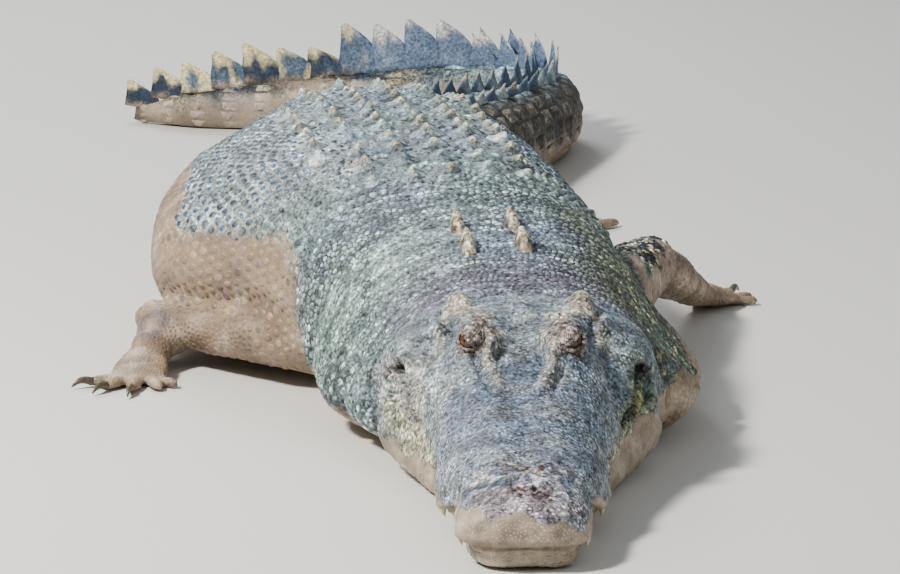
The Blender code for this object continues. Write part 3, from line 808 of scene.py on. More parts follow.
# %% Ridges, knobs and creases of the head
# In millimetres: path of (distance, from midline), half width, height.  Each is on both sides.
HEAD_LINES = from_mm((
    (((500, 47), (478, 52), (458, 56)), 8, 8),
    (((452, 50), (435, 43), (412, 36), (396, 33)), 8.8, 5.8),
    (((500, 24), (478, 34), (455, 34)), 5, -5.2), (((462, 74), (440, 65), (400, 50)), 5, -6.2),
    (((678, 103), (650, 102), (615, 90), (590, 78)), 15, 2.4),
    (((560, 112), (600, 120), (665, 132)), 7, -8), (((560, 124), (600, 133), (650, 144)), 7, 4),
    (((722, 0), (722, 60), (712, 118)), 12, -6), (((535, 60), (545, 50), (560, 45)), 6, -3),
    (((150, 0), (440, 0)), 13, -2.4), (((128, 14), (132, 45), (126, 75)), 9, -3.5),
    (((86, 7), (79, 16), (66, 19), (56, 14)), 3, -5),
    (((96, 0), (92, 20), (76, 32), (54, 28), (44, 10)), 6.5, 2.2),
))
# Knobs, in millimetres: distance, from midline, half width, height.
HEAD_KNOBS = from_mm((
    (512, 33, 9.5, 9), (482, 51, 8.5, 4), (447, 47, 9, 3.5), (674, 103, 20, 5), (628, 98, 13, 2.2),
    (512, 68, 22, 8), (620, 45, 26, -4), (590, 56, 11, 3), (300, 50, 35, 3), (245, 95, 22, 3.5),
    (330, 100, 24, 3), (180, 30, 20, 2.5),
))
# Lines seen from the side, in millimetres: path of (distance, height), half width, how proud.
GAPE = from_mm(((500, 112), (545, 128), (572, 160), (598, 186), (624, 176), (642, 150)))
SIDE_LINES = ((GAPE, 0.0065, -0.0135), *from_mm((
    (((535, 142), (560, 172), (592, 203), (630, 196)), 8, 4), (((600, 160), (662, 163)), 3, -3),
    (((585, 142), (662, 146)), 3, -3), (((570, 125), (655, 128)), 3, -2.8),
    (((560, 108), (640, 110)), 3, -2.2),
)))
JOWL = (0.63, 0.226, 0.085, 0.05, 0.01)           # distance, from midline, height, width, how proud
CHEEK_WRINKLES = (0.545, 0.065, 0.016, 0.0024)    # distance, reach, spacing, depth
NECK_CREASES = from_mm((735, 762, 790, 822, 850, 888, 925, 1085, 1130, 1165, 1215))
NECK_FOLDS = from_mm((745, 860, 1010, 1120))      # big soft folds low on the sides


def head_relief(points, normals, distance, side):
    """How far the head's features move each point, outwards along its normal."""
    far = abs(side)
    upper = np.clip(normals[:, 2] * 3, 0, 1) * (1 - step_up(distance, 0.735, 0.76))
    wobble = 0.004 * ripple(points, 0.03, 3)
    move = np.zeros(len(points))
    lumps = 1 + 0.35 * ripple(points, 0.018, 4)
    for path, width, height in HEAD_LINES:
        near = near_path(distance + wobble * 0.5, far + wobble * 0.4, path)
        move += upper * height * lumps * bell(near, width)
    for place, across, width, height in HEAD_KNOBS:
        move += upper * height * bell(np.hypot(distance - place, far - across), width)
    front = 1 - step_up(distance, 0.66, 0.72)
    move += front * (0.0016 * ripple(points, 0.045, 5) + 0.0009 * ripple(points, 0.016, 6))
    lips = table_at(HEAD, 3, distance) + 0.0015 * ripple(points, 0.05, 7)
    mouth = (1 - step_up(distance, 0.615, 0.65)) * (abs(normals[:, 2]) < 0.93)
    move -= 0.0065 * mouth * bell(points[:, 2] - lips, 0.0036)
    move += 0.0028 * mouth * bell(points[:, 2] - lips - 0.011, 0.0065)
    flank = step_up(far, 0.12, 0.15)
    for path, width, height in SIDE_LINES:
        near = near_path(distance + 0.3 * wobble, points[:, 2] + 0.3 * wobble, path)
        move += flank * height * bell(near, width)
    place, across, level, width, proud = JOWL
    gap = np.sqrt((distance - place) ** 2 + (far - across) ** 2 + (points[:, 2] - level) ** 2)
    move += proud * bell(gap, width)
    place, reach, spacing, depth = CHEEK_WRINKLES
    cheek = bell(distance - place, reach) * bell(points[:, 2] - 0.15, 0.055) * step_up(far, 0.1, 0.14)
    folds = np.sin(2 * np.pi * (distance + 0.25 * points[:, 2] + 0.6 * wobble) / spacing)
    move += depth * cheek * (1 - 2 * abs(folds) ** 0.7)
    return move


def neck_wobble(points):
    """How far a crease of the neck strays from its straight line."""
    return 0.006 * ripple(points, 0.09, 8) + 0.002 * ripple(points, 0.03, 9)


def neck_relief(points, normals, distance):
    """Creases across the neck and soft folds where it bends."""
    wobble = neck_wobble(points)
    move = np.zeros(len(points))
    for count, place in enumerate(NECK_CREASES):
        depth = 0.0045 if count % 2 == 0 else 0.0028
        move -= depth * bell(distance + wobble - place, 0.0055) * (normals[:, 2] > -0.2)
    low = 1 - step_up(points[:, 2], 0.1, 0.24)
    for place in NECK_FOLDS:
        move -= 0.011 * low * bell(distance + 1.6 * wobble - place + 0.15 * (points[:, 2] - 0.1), 0.016)
    trunk = stretch(distance, 0.95, 1.25, 2.3, 2.6)
    move += trunk * (0.0035 * ripple(points, 0.16, 10) + 0.0012 * ripple(points, 0.05, 11))
    return move


print("head", len(HEAD_LINES), "lines and", len(HEAD_KNOBS), "knobs, neck", len(NECK_FOLDS), "folds")


# %% [markdown]
# The right foreleg lies along the belly, with a deep fold between them and rings of
# creases round the arm.  A point of the hide that is close both to the leg's tube and to
# the trunk's side is in the fold.

# %% Folds where a leg leaves the trunk
def trunk_gap(points, distance, side):
    """How far points stand out sideways from the trunk, at their own height."""
    back, level = table_at(BODY, 3, distance), table_at(BODY, 4, distance)
    width, z = by_side(BODY, distance, side), points[:, 2]
    fold = throat_fold(distance, side, z)
    above = np.clip((z - level) / (back - level), 0, 1) ** (1 / 0.9)
    below = np.clip((level - z) / (level + 0.012), 0, 1) ** (1 / 0.62)
    sine = np.where(z > level, above, below)
    return abs(side) - fold - width * np.sqrt(1 - np.clip(sine, 0, 0.999) ** 2) ** 0.86


def limb_gap(points, leg):
    """How far points are from a leg's surface, and how far along the leg they are."""
    best, along, passed = np.full(len(points), 9.0), np.zeros(len(points)), 0.0
    for start, end, shape in lengths_of(leg):
        run = np.array(end - start)
        share = np.clip((points - np.array(start)) @ run / (run @ run), 0, 1)
        radius = (table_at(shape, 1, share) + table_at(shape, 2, share)) / 2
        gap = np.linalg.norm(points - np.array(start) - share[:, None] * run, axis=1) - radius
        nearer = gap < best
        best = np.where(nearer, gap, best)
        along = np.where(nearer, passed + share * np.linalg.norm(run), along)
        passed += np.linalg.norm(run)
    return best, along


def limb_relief(points, distance, side):
    """The fold at each leg's root, and shallow rings round the legs."""
    out = np.clip(trunk_gap(points, distance, side), 0, None)
    wobble = 0.008 * ripple(points, 0.07, 12)
    move = np.zeros(len(points))
    for leg in LEGS:
        gap, along = limb_gap(points, leg)
        near = np.clip(gap, 0, None)
        move -= 0.016 * bell(near + out, 0.017) * (points[:, 2] > 0.03)
        skin = bell(near, 0.012) * step_up(out, 0.02, 0.05) * step_up(points[:, 2], 0.02, 0.04)
        rings = np.sin(2 * np.pi * (along + wobble) / 0.052)
        move -= 0.003 * skin * step_up(rings, 0.55, 1.0)
    return move


print("folds for", len(LEGS), "legs")


# %% [markdown]
# Each eye sits in a socket.  The hide round it is pushed back behind the eyeball where
# the lids will be, and kept over the lids' outer edge, so that no gap can show.

# %% Sockets in the hide
EYE_RADIUS = 0.0195
EYE_LOOKS = Vector((0.57, -0.79, 0.2)).normalized()   # of the left eye; the right one's is mirrored
LID_REACH = 78.0            # degrees from the eye's axis to the lids' outer edge


def eye_centres():
    """Middle and direction of view of the right and the left eye."""
    right, left = middle_of("eye_right"), middle_of("eye_left")
    return ((right, Vector((-EYE_LOOKS.x, EYE_LOOKS.y, EYE_LOOKS.z))), (left, EYE_LOOKS))


def sink_sockets(points):
    """Moves the hide near each eye to lie behind the lids or just over their edge."""
    for centre, looks in eye_centres():
        away = points - np.array(centre)
        radius = np.linalg.norm(away, axis=1)
        turned = np.degrees(np.arccos(np.clip(away @ np.array(looks) / np.maximum(radius, 1e-6), -1, 1)))
        inside = 1 - step_up(turned, LID_REACH - 14, LID_REACH)
        outside = step_up(turned, LID_REACH - 14, LID_REACH) * (1 - step_up(turned, 100, 130))
        close = 1 - step_up(radius, 0.034, 0.046)
        wanted = np.where(radius > EYE_RADIUS * 0.8, EYE_RADIUS * 0.8, radius)
        target = radius + inside * close * (wanted - radius)
        upper = np.clip(away[:, 2] / np.maximum(radius, 1e-6) + 0.2, 0, 1)
        target = np.maximum(target, outside * close * (EYE_RADIUS + 0.0066 + 0.003 * upper))
        points += away * ((target - radius) / np.maximum(radius, 1e-6))[:, None]
    return points


def soften_join(piece):
    """Smooths the step where the head meets the neck."""
    points, _ = mesh_arrays(piece.data)
    distance, _ = along_spine(points)
    weight = np.round(bell(distance - 0.742, 0.045), 1)
    group = piece.vertex_groups.new(name="join")
    for level in np.unique(weight[weight > 0]):
        group.add(np.flatnonzero(weight == level).tolist(), float(level), "REPLACE")
    soft = piece.modifiers.new("soft join", "SMOOTH")
    soft.vertex_group, soft.factor, soft.iterations = group.name, 0.6, 60
    apply_modifiers(piece)


def shape_hide(piece):
    """Moves every point of the hide by the reliefs of head, neck and legs."""
    soften_join(piece)
    points, normals = mesh_arrays(piece.data)
    distance, side = along_spine(points)
    legs = on_leg(points, distance, side)
    move = head_relief(points, normals, distance, side)
    move += neck_relief(points, normals, distance) * (1 - legs)
    move += limb_relief(points, distance, side)
    points = points + normals * move[:, None]
    points = sink_sockets(points)
    points[:, 2] = np.maximum(points[:, 2], FLOOR_CLEAR)
    piece.data.vertices.foreach_set("co", points.ravel())
    piece.data.update()


def on_leg(points, distance, side):
    """1 on the legs, 0 on the trunk, from how far a point lies outside the trunk's width."""
    width = by_side(BODY, distance, side) + throat_fold(distance, side, points[:, 2])
    return step_up(abs(side) - width, 0.0, 0.02) * (distance > 0.8) * (distance < 3.0)


shape_hide(hide)
print("hide shaped, highest point", round(max(v.co.z for v in hide.data.vertices), 3))


# %% [markdown]
# Half a million triangles are more than the trunk needs, as scales will cover it.
# Decimate merges faces where the surface is plain and keeps them on head and feet.

# %% Fewer faces where they don't show
MOST_FACES = 196000


def thin_out(piece):
    """Merges faces, most of all where scales hide them."""
    points, _ = mesh_arrays(piece.data)
    distance, side = along_spine(points)
    keep = 0.12 + 0.88 * (1 - step_up(distance, 0.7, 0.8))
    keep = np.maximum(keep, 0.75 * on_leg(points, distance, side))
    keep[points[:, 2] < FLOOR_CLEAR + 0.001] = 0.0
    group = piece.vertex_groups.new(name="plain")
    for level in np.unique(np.round(keep, 1)):
        chosen = np.flatnonzero(np.round(keep, 1) == level).tolist()
        group.add(chosen, float(1 - level), "REPLACE")
    triangles = sum(len(face.vertices) - 2 for face in piece.data.polygons)
    thin = piece.modifiers.new("fewer faces", "DECIMATE")
    thin.ratio = min(1.0, MOST_FACES / triangles)
    thin.vertex_group = group.name
    thin.vertex_group_factor = 4.0
    apply_modifiers(piece)
    piece.data.shade_smooth()


thin_out(hide)
print("hide thinned to", len(hide.data.polygons), "faces")


# %% [markdown]
# The eyeball is a polished sphere.  A flat map laid over it from the front carries the
# iris: amber, darker at its edge, with an upright slit of a pupil.  The lids are two
# curved sheets round the ball.  Each starts as a grid, and its near edge follows an
# almond, so the eye's opening is crisp.  Fine creases run over the upper lid to its edge.

# %% Eyeballs and lids
OPENING_HALF = 57.0         # degrees from the axis to the corners of the eye
OPENING_UP = 8.0            # degrees from the axis to the upper lid's edge
OPENING_DOWN = 25.0
OPENING_TILT = 33.0         # the outer corner stands higher than the inner one
LID_THICK = 0.003


def eye_frame(looks):
    """Axis, outward and upward directions of an eye, tilted as its opening is."""
    axis = np.array(looks)
    outward = np.array(Vector((0, 0, 1)).cross(looks).normalized()) * (1 if looks.x > 0 else -1)
    upward = np.cross(axis, outward) * (1 if looks.x > 0 else -1)
    tilt = math.radians(OPENING_TILT)
    return axis, (outward * math.cos(tilt) + upward * math.sin(tilt),
                  upward * math.cos(tilt) - outward * math.sin(tilt))


def build_eyeballs():
    """Both eyeballs as one piece, each with a flat map seen from its front."""
    bm = bmesh.new()
    flat = bm.loops.layers.uv.new("Iris")
    for centre, looks in eye_centres():
        axis = np.array(looks)
        outward = np.cross((0, 0, 1), axis)
        outward /= np.linalg.norm(outward)
        upward = np.cross(axis, outward)
        made = bmesh.ops.create_uvsphere(bm, u_segments=40, v_segments=24, radius=EYE_RADIUS)["verts"]
        faces = {face for vert in made for face in vert.link_faces}
        for face in faces:
            for loop in face.loops:
                way = np.array(loop.vert.co) / EYE_RADIUS
                turned = math.acos(float(np.clip(way @ axis, -1, 1))) / math.pi
                plane = np.array((way @ outward, way @ upward))
                loop[flat].uv = plane / max(np.linalg.norm(plane), 1e-6) * turned
        bmesh.ops.translate(bm, verts=made, vec=centre)
    bmesh.ops.recalc_face_normals(bm, faces=bm.faces)
    return smooth_object(bm, "eyeballs")


def lid_point(frame, centre, across, away, upper):
    """A place on a lid: across the eye from corner to corner, and away from its edge."""
    axis, (outward, upward) = frame
    turn = math.radians(OPENING_HALF * across)
    opening = (OPENING_UP if upper else OPENING_DOWN) * max(0.0, 1 - abs(across) ** 2.2)
    lift = math.radians(opening + (LID_REACH - opening) * away) * (1 if upper else -1)
    way = (axis * math.cos(turn) + outward * math.sin(turn)) * math.cos(lift) + upward * math.sin(lift)
    rim = min(1.0, away / 0.05)
    swelling = (0.0062 if upper else 0.0026) * step_up(away, 0.0, 0.8)
    thick = LID_THICK * (0.15 + 0.85 * math.sqrt(rim)) + swelling
    creases = math.sin(across * 17 + 2.2 * math.sin(across * 5)) * math.sin(across * 7.7 + 1)
    pimples = math.sin(across * 31) * math.sin(away * 37 + 4 * across)
    wrinkle = (0.0009 if upper else 0.0006) * creases + 0.0007 * pimples
    band = 0.0009 * math.exp(-((away - 0.1) / 0.05) ** 2)
    fold = -0.0016 * math.exp(-((away - 0.3) / 0.045) ** 2)
    radius = EYE_RADIUS + thick + (wrinkle * min(1.0, away / 0.12) + band + fold)
    return np.array(centre) + way * radius


def build_lids():
    """Upper and lower lids of both eyes as one piece, thickened on their inner side."""
    bm = bmesh.new()
    for centre, looks in eye_centres():
        frame_of_eye = eye_frame(looks)
        for upper in (True, False):
            made = bmesh.ops.create_grid(bm, x_segments=96, y_segments=30, size=1.0)["verts"]
            for vert in made:
                across, away = vert.co.x * 1.3, (vert.co.y + 1) / 2
                vert.co = lid_point(frame_of_eye, centre, across, away ** 1.4, upper)
    bmesh.ops.recalc_face_normals(bm, faces=bm.faces)
    piece = object_from(bm, "eyelids")
    thick = piece.modifiers.new("thickness", "SOLIDIFY")
    thick.thickness = 0.0022
    thick.offset = -1.0
    points, normals = mesh_arrays(piece.data)
    right = eye_centres()[0][0]
    if ((points - np.array(right)) * normals)[points[:, 0] < SNOUT.x].sum() < 0:
        thick.offset = 1.0
    apply_modifiers(piece)
    piece.data.shade_smooth()
    return piece


eyeballs = build_eyeballs()
eyelids = build_lids()
print("eyes:", len(eyeballs.data.polygons), "faces, lids:", len(eyelids.data.polygons))


# %% [markdown]
# Scales are laid on the hide as closed little mounds.  Each one grows from a root, a
# point on the hide.  Its outline is the ground nearer to this root than to any other,
# less a groove, so neighbours always fit, whatever their sizes.  The mound itself is
# made once with bmesh operators, and numpy repeats it for every root.

# %% One mound, made once
class Mound:
    """A scale of radius 1: rings of points with their angle and share of the radius."""

    def __init__(self, sides, insets):
        """sides is how many corners it has, and insets the widths of its rings from the rim in."""
        bm = bmesh.new()
        bmesh.ops.create_circle(bm, cap_ends=True, segments=sides, radius=1.0)
        for thickness in insets:
            middle = max(bm.faces, key=lambda face: len(face.verts))
            bmesh.ops.inset_region(bm, faces=[middle], use_boundary=True, use_even_offset=True,
                                   thickness=thickness * math.cos(math.pi / sides))
        middle = max(bm.faces, key=lambda face: len(face.verts))
        bmesh.ops.poke(bm, faces=[middle])
        bmesh.ops.recalc_face_normals(bm, faces=bm.faces)
        if sum(face.normal.z for face in bm.faces) < 0:
            bmesh.ops.reverse_faces(bm, faces=bm.faces)
        bm.verts.index_update()
        places = np.array([vert.co[:2] for vert in bm.verts])
        self.share = np.minimum(1.0, np.hypot(*places.T))
        turns = np.arctan2(places[:, 1], places[:, 0]) / (2 * math.pi)
        self.sides = sides
        self.spoke = np.where(self.share > 0.02, np.round(turns * sides), 0).astype(int) % sides
        self.spokes = np.arange(sides) * 2 * math.pi / sides
        self.angle = self.spokes[self.spoke]
        self.rim = np.flatnonzero(self.share > 0.999)
        self.corners = np.array([vert.index for face in bm.faces for vert in face.verts])
        self.totals = np.array([len(face.verts) for face in bm.faces])
        self.count = len(places)
        bm.free()


GRAIN = Mound(6, (0.2,))
SCALE = Mound(8, (0.14, 0.4))
SCUTE = Mound(14, (0.1, 0.22, 0.28, 0.24))
for mound_name, mound in (("grain", GRAIN), ("scale", SCALE), ("scute", SCUTE)):
    print(mound_name, "has", int((mound.totals - 2).sum()), "triangles")


# %% Roots on the hide
hide_tree = BVHTree.FromObject(hide, bpy.context.evaluated_depsgraph_get())
hide_points, hide_normals = mesh_arrays(hide.data)
hide.data.calc_loop_triangles()
hide_corners = np.array([face.vertices[:3] for face in hide.data.polygons])


def snapped(points):
    """The nearest places on the hide, and the hide's smooth normals there."""
    places, faces = np.empty((len(points), 3)), np.empty(len(points), int)
    for i, point in enumerate(points.tolist()):
        place, _, face, _ = hide_tree.find_nearest(point)
        places[i], faces[i] = place, face
    normals = hide_normals[hide_corners[faces]].mean(1)
    return places, normals / np.linalg.norm(normals, axis=1, keepdims=True)


def nearest(points, others, count):
    """For each point, the numbers of the nearest of the others."""
    tree = KDTree(len(others))
    for i, point in enumerate(others.tolist()):
        tree.insert(point, i)
    tree.balance()
    return np.array([[item[1] for item in tree.find_n(point, count)] for point in points.tolist()])


def scattered(pitch_at, allowed, seed):
    """Random roots on the hide, as close together as pitch_at says, where they are allowed."""
    random = seeded(seed)
    triangles = np.empty(len(hide.data.loop_triangles) * 3, int)
    hide.data.loop_triangles.foreach_get("vertices", triangles)
    corners = hide_points[triangles.reshape(-1, 3)]
    middle = corners.mean(1)
    crossed = np.cross(corners[:, 1] - corners[:, 0], corners[:, 2] - corners[:, 0])
    area = np.linalg.norm(crossed, axis=1) / 2
    distance, side = along_spine(middle)
    normals = hide_normals[triangles.reshape(-1, 3)].mean(1)
    wanted = 1.12 * area / pitch_at(middle, distance, side, normals) ** 2 * allowed(middle, distance)
    counts = random.poisson(wanted)
    chosen = np.repeat(np.arange(len(area)), counts)
    a, b = np.sqrt(random.random(len(chosen))), random.random(len(chosen))
    share = np.stack([1 - a, a * (1 - b), a * b], 1)
    return (corners[chosen] * share[..., None]).sum(1)


def spread_out(roots, sizes, fixed, fixed_sizes, rounds):
    """Pushes random roots apart until they are evenly spaced, beside others that stay put."""
    for _ in range(rounds):
        everything = np.vstack([roots, fixed])
        every_size = np.concatenate([sizes, fixed_sizes])
        near = nearest(roots, everything, 8)[:, 1:]
        gap = roots[:, None] - everything[near]
        far = np.maximum(np.linalg.norm(gap, axis=2), 1e-5)
        wanted = (sizes[:, None] + every_size[near]) * 0.53
        push = np.clip(wanted - far, 0, None) / far * 0.42
        roots, _ = snapped(roots + (gap * push[..., None]).sum(1))
    return roots


print("points of the hide that roots can stand between", len(hide_points))


# %% Outlines of the scales
NEIGHBOURS = 11             # a scale's outline heeds this many of the roots around it


def outlines(own, mound, groove, longer, sharp):
    """How far each scale reaches along each spoke of its mound, and its two directions."""
    place, normals, sizes = own["place"], own["normal"], own["size"][:, None]
    along = own["along"] - normals * (own["along"] * normals).sum(1, keepdims=True)
    along /= np.maximum(np.linalg.norm(along, axis=1, keepdims=True), 1e-6)
    across = np.cross(normals, along)
    near = nearest(place, roots["place"], NEIGHBOURS + 1)[:, 1:]
    gap = roots["place"][near] - place[:, None]
    u, v = (gap * along[:, None]).sum(2), (gap * across[:, None]).sum(2)
    flat = np.maximum(np.hypot(u, v), 1e-4)
    over = abs((gap * normals[:, None]).sum(2))
    share = sizes / (sizes + roots["size"][near])
    half = np.maximum(flat * share - groove, 0.12 * sizes)
    half = np.where(over > flat * 1.4, 9.0, half)
    facing = np.clip(np.cos(mound.spokes[None, None] - np.arctan2(v, u)[..., None]), 0, None)
    limit = sizes * 0.74
    cosine, sine = np.cos(mound.spokes)[None], np.sin(mound.spokes)[None]
    ellipse = np.hypot(cosine / (limit * longer), sine * longer / limit)
    total = ((facing / half[..., None]) ** sharp).sum(1) + ellipse ** sharp
    return total ** (-1.0 / sharp), along, across


print("an outline is held in by", NEIGHBOURS, "neighbours")


# %% Meshes of the scales
def repeated_mesh(name, mound, points):
    """One mesh that repeats a mound's faces on every set of points."""
    scales = len(points)
    mesh = bpy.data.meshes.new(name)
    mesh.vertices.add(scales * mound.count)
    mesh.vertices.foreach_set("co", points.ravel())
    corners = (mound.corners[None] + np.arange(scales)[:, None] * mound.count).ravel()
    totals = np.tile(mound.totals, scales)
    mesh.loops.add(len(corners))
    mesh.loops.foreach_set("vertex_index", corners)
    mesh.polygons.add(len(totals))
    mesh.polygons.foreach_set("loop_start", np.cumsum(totals) - totals)
    mesh.update(calc_edges=True)
    mesh.shade_smooth()
    return mesh, corners


def filled_square(values):
    """Spreads numbers over 0.03 to 0.97."""
    low, high = values.min(), values.max()
    return 0.03 + 0.94 * (values - low) / max(high - low, 1e-6)


LOWEST_RIM, LOWEST_RISE = 0.0006, 0.0004    # a scale's rim off the floor, and its middle above that
LOWEST_BELLY_RIM = 0.0044


def raised_points(own, mound, reach, along, across, sink):
    """Points of every scale: a dome with a ridge, whose rim follows the hide just under it."""
    place, normal, size, share = own["place"], own["normal"], own["size"], mound.share[None]
    out = reach[:, mound.spoke] * share
    u, v = out * np.cos(mound.angle), out * np.sin(mound.angle)
    points = place[:, None] + along[:, None] * u[..., None] + across[:, None] * v[..., None]
    rims = points[:, mound.rim]
    landed, _ = snapped(rims.reshape(-1, 3))
    drop = np.zeros((len(place), mound.sides, 3))
    drop[:, mound.spoke[mound.rim]] = landed.reshape(rims.shape) - rims
    points += drop[:, mound.spoke] * (share[..., None] ** 2)
    dome = own["height"][:, None] * (1 - share ** 2.6)
    ridge = own["keel"][:, None] * np.exp(-(v / (0.1 * size[:, None])) ** 2) * (1 - share ** 5)
    ridge *= 1 + 0.5 * np.cos(mound.angle) * share
    lean = 0.35 * own["height"][:, None] * np.cos(mound.angle) * share * (1 - share ** 4)
    at_rim = share > 0.999
    points += normal[:, None] * np.where(at_rim, -sink, dome + ridge + lean)[..., None]
    points[..., 2] = np.maximum(points[..., 2], LOWEST_RIM + LOWEST_RISE * (1 - share))
    belly_rim = (normal[:, None, 2] < -0.3) & at_rim
    points[..., 2] = np.where(belly_rim, np.maximum(points[..., 2], LOWEST_BELLY_RIM), points[..., 2])
    return points


def scale_piece(name, mound, chosen, groove=0.0012, longer=1.0, sharp=5.0, sink=0.0016, plain=0.0):
    """One piece of scales.  chosen says which of the roots are its own.

    groove is half the gap to the next scale, longer stretches a scale along the body, a higher
    sharp gives crisper corners, sink is how far the rim lies under the hide, and plain, from 0
    to 1, colours the whole scale as its rim.
    """
    own = {key: values[chosen] for key, values in roots.items()}
    count = len(own["place"])
    outline = outlines(own, mound, groove, longer, sharp)
    mesh, corners = repeated_mesh(name, mound, raised_points(own, mound, *outline, sink))
    piece = bpy.data.objects.new(name, mesh)
    bpy.context.collection.objects.link(piece)
    flat = mesh.uv_layers.new(name="OFBake")
    centre = np.stack([filled_square(own["u"]), filled_square(own["v"])], 1)
    off_keel = mound.share * np.sin(mound.angle)
    patch = np.stack([mound.share * np.cos(mound.angle), off_keel], 1) * 0.0015
    flat.data.foreach_set("uv", (centre[:, None] + patch[None]).reshape(-1, 2)[corners].ravel())
    keeled = step_up(own["keel"], 0.003, 0.006)[:, None]
    share = np.tile(mound.share, count)
    # crown and edge mark a keel's top and foot, where paint lays a painted highlight and painted shade.
    paint(piece, tone=np.repeat(own["tone"], mound.count), rim=plain + (1 - plain) * share, depth=share,
          crown=(bell(off_keel, 0.2) * (1 - mound.share ** 4) * keeled).ravel(),
          edge=(step_up(mound.share, 0.5, 0.85) * keeled).ravel())
    mesh.materials.append(scale_hide)
    print(name, count, "scales,", count * int((mound.totals - 2).sum()), "triangles")
    return piece


# %% [markdown]
# Hide and scales carry the same markings.  They are worked out from where a point is on
# the animal: how far along it, how high, on which side.  The result is kept on the mesh
# as a colour and as two amounts, how muddy and how deep in a groove a point is, and the
# materials read those.  The back is blue-grey with a green cast, the flank has dark blue
# scale centres in a pale net, and below a wavy line everything is coated in tan mud.

# %% Colours of hide, mud and horn
# shade and bark are colours of painted shade.
COLOURS = {name: linear(code) for name, code in {
    "blue_grey": "#808d9c", "pale_grey": "#b3bcb9", "slate": "#56687a", "deep_blue": "#34465c",
    "green_grey": "#7f9180", "moss": "#66773f", "mauve": "#877d90", "lid": "#877972",
    "tan": "#cabfaa", "cream": "#cfc49c", "lavender": "#8a90a6", "painted_shade_dark": "#35332f",
    "fern": "#4f6b5c", "navy": "#2c3647", "teal": "#85a09f", "steel": "#7585a0",
    "shade": "#5c5f50", "brown": "#574b3c", "mud": "#a08c77", "dry_mud": "#b9aea0",
    "mud_spot": "#75696e", "scab": "#5c3b33", "belly": "#cdc29c", "pink": "#bda79a",
    "rose": "#b8abb2", "white": "#d6d0cc", "black": "#23242a", "yellow": "#c2b464",
}.items()}


def blend(colours, *layers):
    """Lays named colours over the points' own, one after another, each by an amount for each point."""
    for amount, name in layers:
        amount = np.clip(amount, 0, 1)[:, None]
        colours = colours * (1 - amount) + COLOURS[name] * amount
    return colours


print("colours of the hide", len(COLOURS))


# %% Where the mud lies
# Height of the mud's edge along the body, in millimetres: distance, on the right, on the left.
MUD_LINE = from_mm((
    (-50, 76, 76), (100, 80, 78), (200, 64, 62), (400, 45, 50), (600, 60, 110), (800, 45, 110),
    (1000, 55, 130), (1170, 75, 150), (1235, 255, 170), (1320, 272, 180), (1460, 236, 180),
    (1600, 292, 180), (1770, 315, 190), (2050, 290, 200), (2450, 180, 150), (2900, 100, 85),
    (3500, 70, 60), (3850, 90, 70), (4050, 108, 80), (4300, 94, 70), (4600, 30, 30),
))
# Grey rings in the mud of the right foreleg: place from the snout's tip, and radius.
ARM_RINGS = ((-0.36, 1.2, 0.19, 0.018), (-0.4, 1.24, 0.19, 0.012),
             (-0.5, 1.33, 0.16, 0.022), (-0.655, 1.36, 0.09, 0.03))


def mud_amount(points, distance, side):
    """1 where the animal is coated in mud, 0 where it is clean."""
    line = by_side(MUD_LINE, distance, side) + 0.01 * ripple(points, 0.06, 21)
    line = line + 0.006 * ripple(points, 0.022, 22)
    mud = 1 - step_up(points[:, 2], line - 0.004, line + 0.004)
    return np.maximum(mud, leg_mud(points, distance, side))


def leg_mud(points, distance, side):
    """The legs are muddy, but for the left elbow, which stands clear."""
    legs = on_leg(points, distance, side)
    shoulder, elbow = (np.array(joint) for joint in joints_of("arm_left")[:2])
    gap = (points - shoulder - 0.8 * (elbow - shoulder)) * (1.1, 0.8, 0.75)
    bare = 1 - step_up(np.linalg.norm(gap, axis=1) + 0.016 * ripple(points, 0.05, 23), 0.165, 0.185)
    thigh_top = (distance > 1.9) & (points[:, 2] > 0.13 + 0.02 * ripple(points, 0.06, 24))
    return legs * (1 - np.maximum(bare, thigh_top))


print("mud line given at", len(MUD_LINE), "places along the body")


# %% Markings of the whole animal
def markings(points, distance, side, tone, rim):
    """Colour of each point, and how muddy it is.  tone differs from scale to scale, -1 to 1."""
    broad, fine, tiny = (ripple(points, *wave) for wave in ((0.16, 25), (0.035, 26), (0.011, 27)))
    on_head = 1 - step_up(distance, 0.7, 0.76)
    on_neck = (1 - on_head) * (1 - step_up(distance, 1.15, 1.35))
    body = step_up(distance, 0.66, 0.8)
    colour = blend(
        np.tile(COLOURS["blue_grey"], (len(points), 1)),
        (0.35 + 0.3 * broad + 0.3 * fine, "pale_grey"),
        (0.3 * step_up(fine + 0.6 * tone, 0.4, 1.4), "slate"),
        (body * (0.4 + 0.25 * broad), "teal"),
        (body * 0.35 * step_up(broad - 0.4 * fine, -0.2, 1.2), "green_grey"))
    colour = back_colours(colour, points, distance, side, tone, rim, fine)
    colour = head_colours(colour, points, distance, side, tone, fine, tiny)
    colour = tail_colours(colour, points, distance, side, tone, fine)
    colour = blend(colour, (0.75 * (1 - step_up(points[:, 2], 0.015, 0.05)) * body, "belly"))
    mud = mud_amount(points, distance, side)
    muddy = mud_colours(points, distance, tone, rim, fine, on_head)
    across = np.stack([2.4 * distance, 0.55 * side, 0.55 * points[:, 2]], 1)
    streaks = on_neck * (0.34 * ripple(across, 0.026, 47) + 0.3 * ripple(across, 0.013, 48))
    contrast = 0.78 - 0.3 * on_head - 0.4 * on_neck
    shade = contrast * tone + 0.36 * tiny + 0.24 * fine + streaks - 0.07 * (1 - on_head)
    muddy = muddy * np.exp(0.16 * tone + 0.16 * fine + 0.1 * tiny - 0.06)[:, None]
    colour = colour * np.exp(shade)[:, None] * (1 - mud)[:, None] + muddy * mud[:, None]
    return np.clip(blend(colour, (1.6 * mud * (1 - mud), "mud_spot")), 0, 0.9), mud


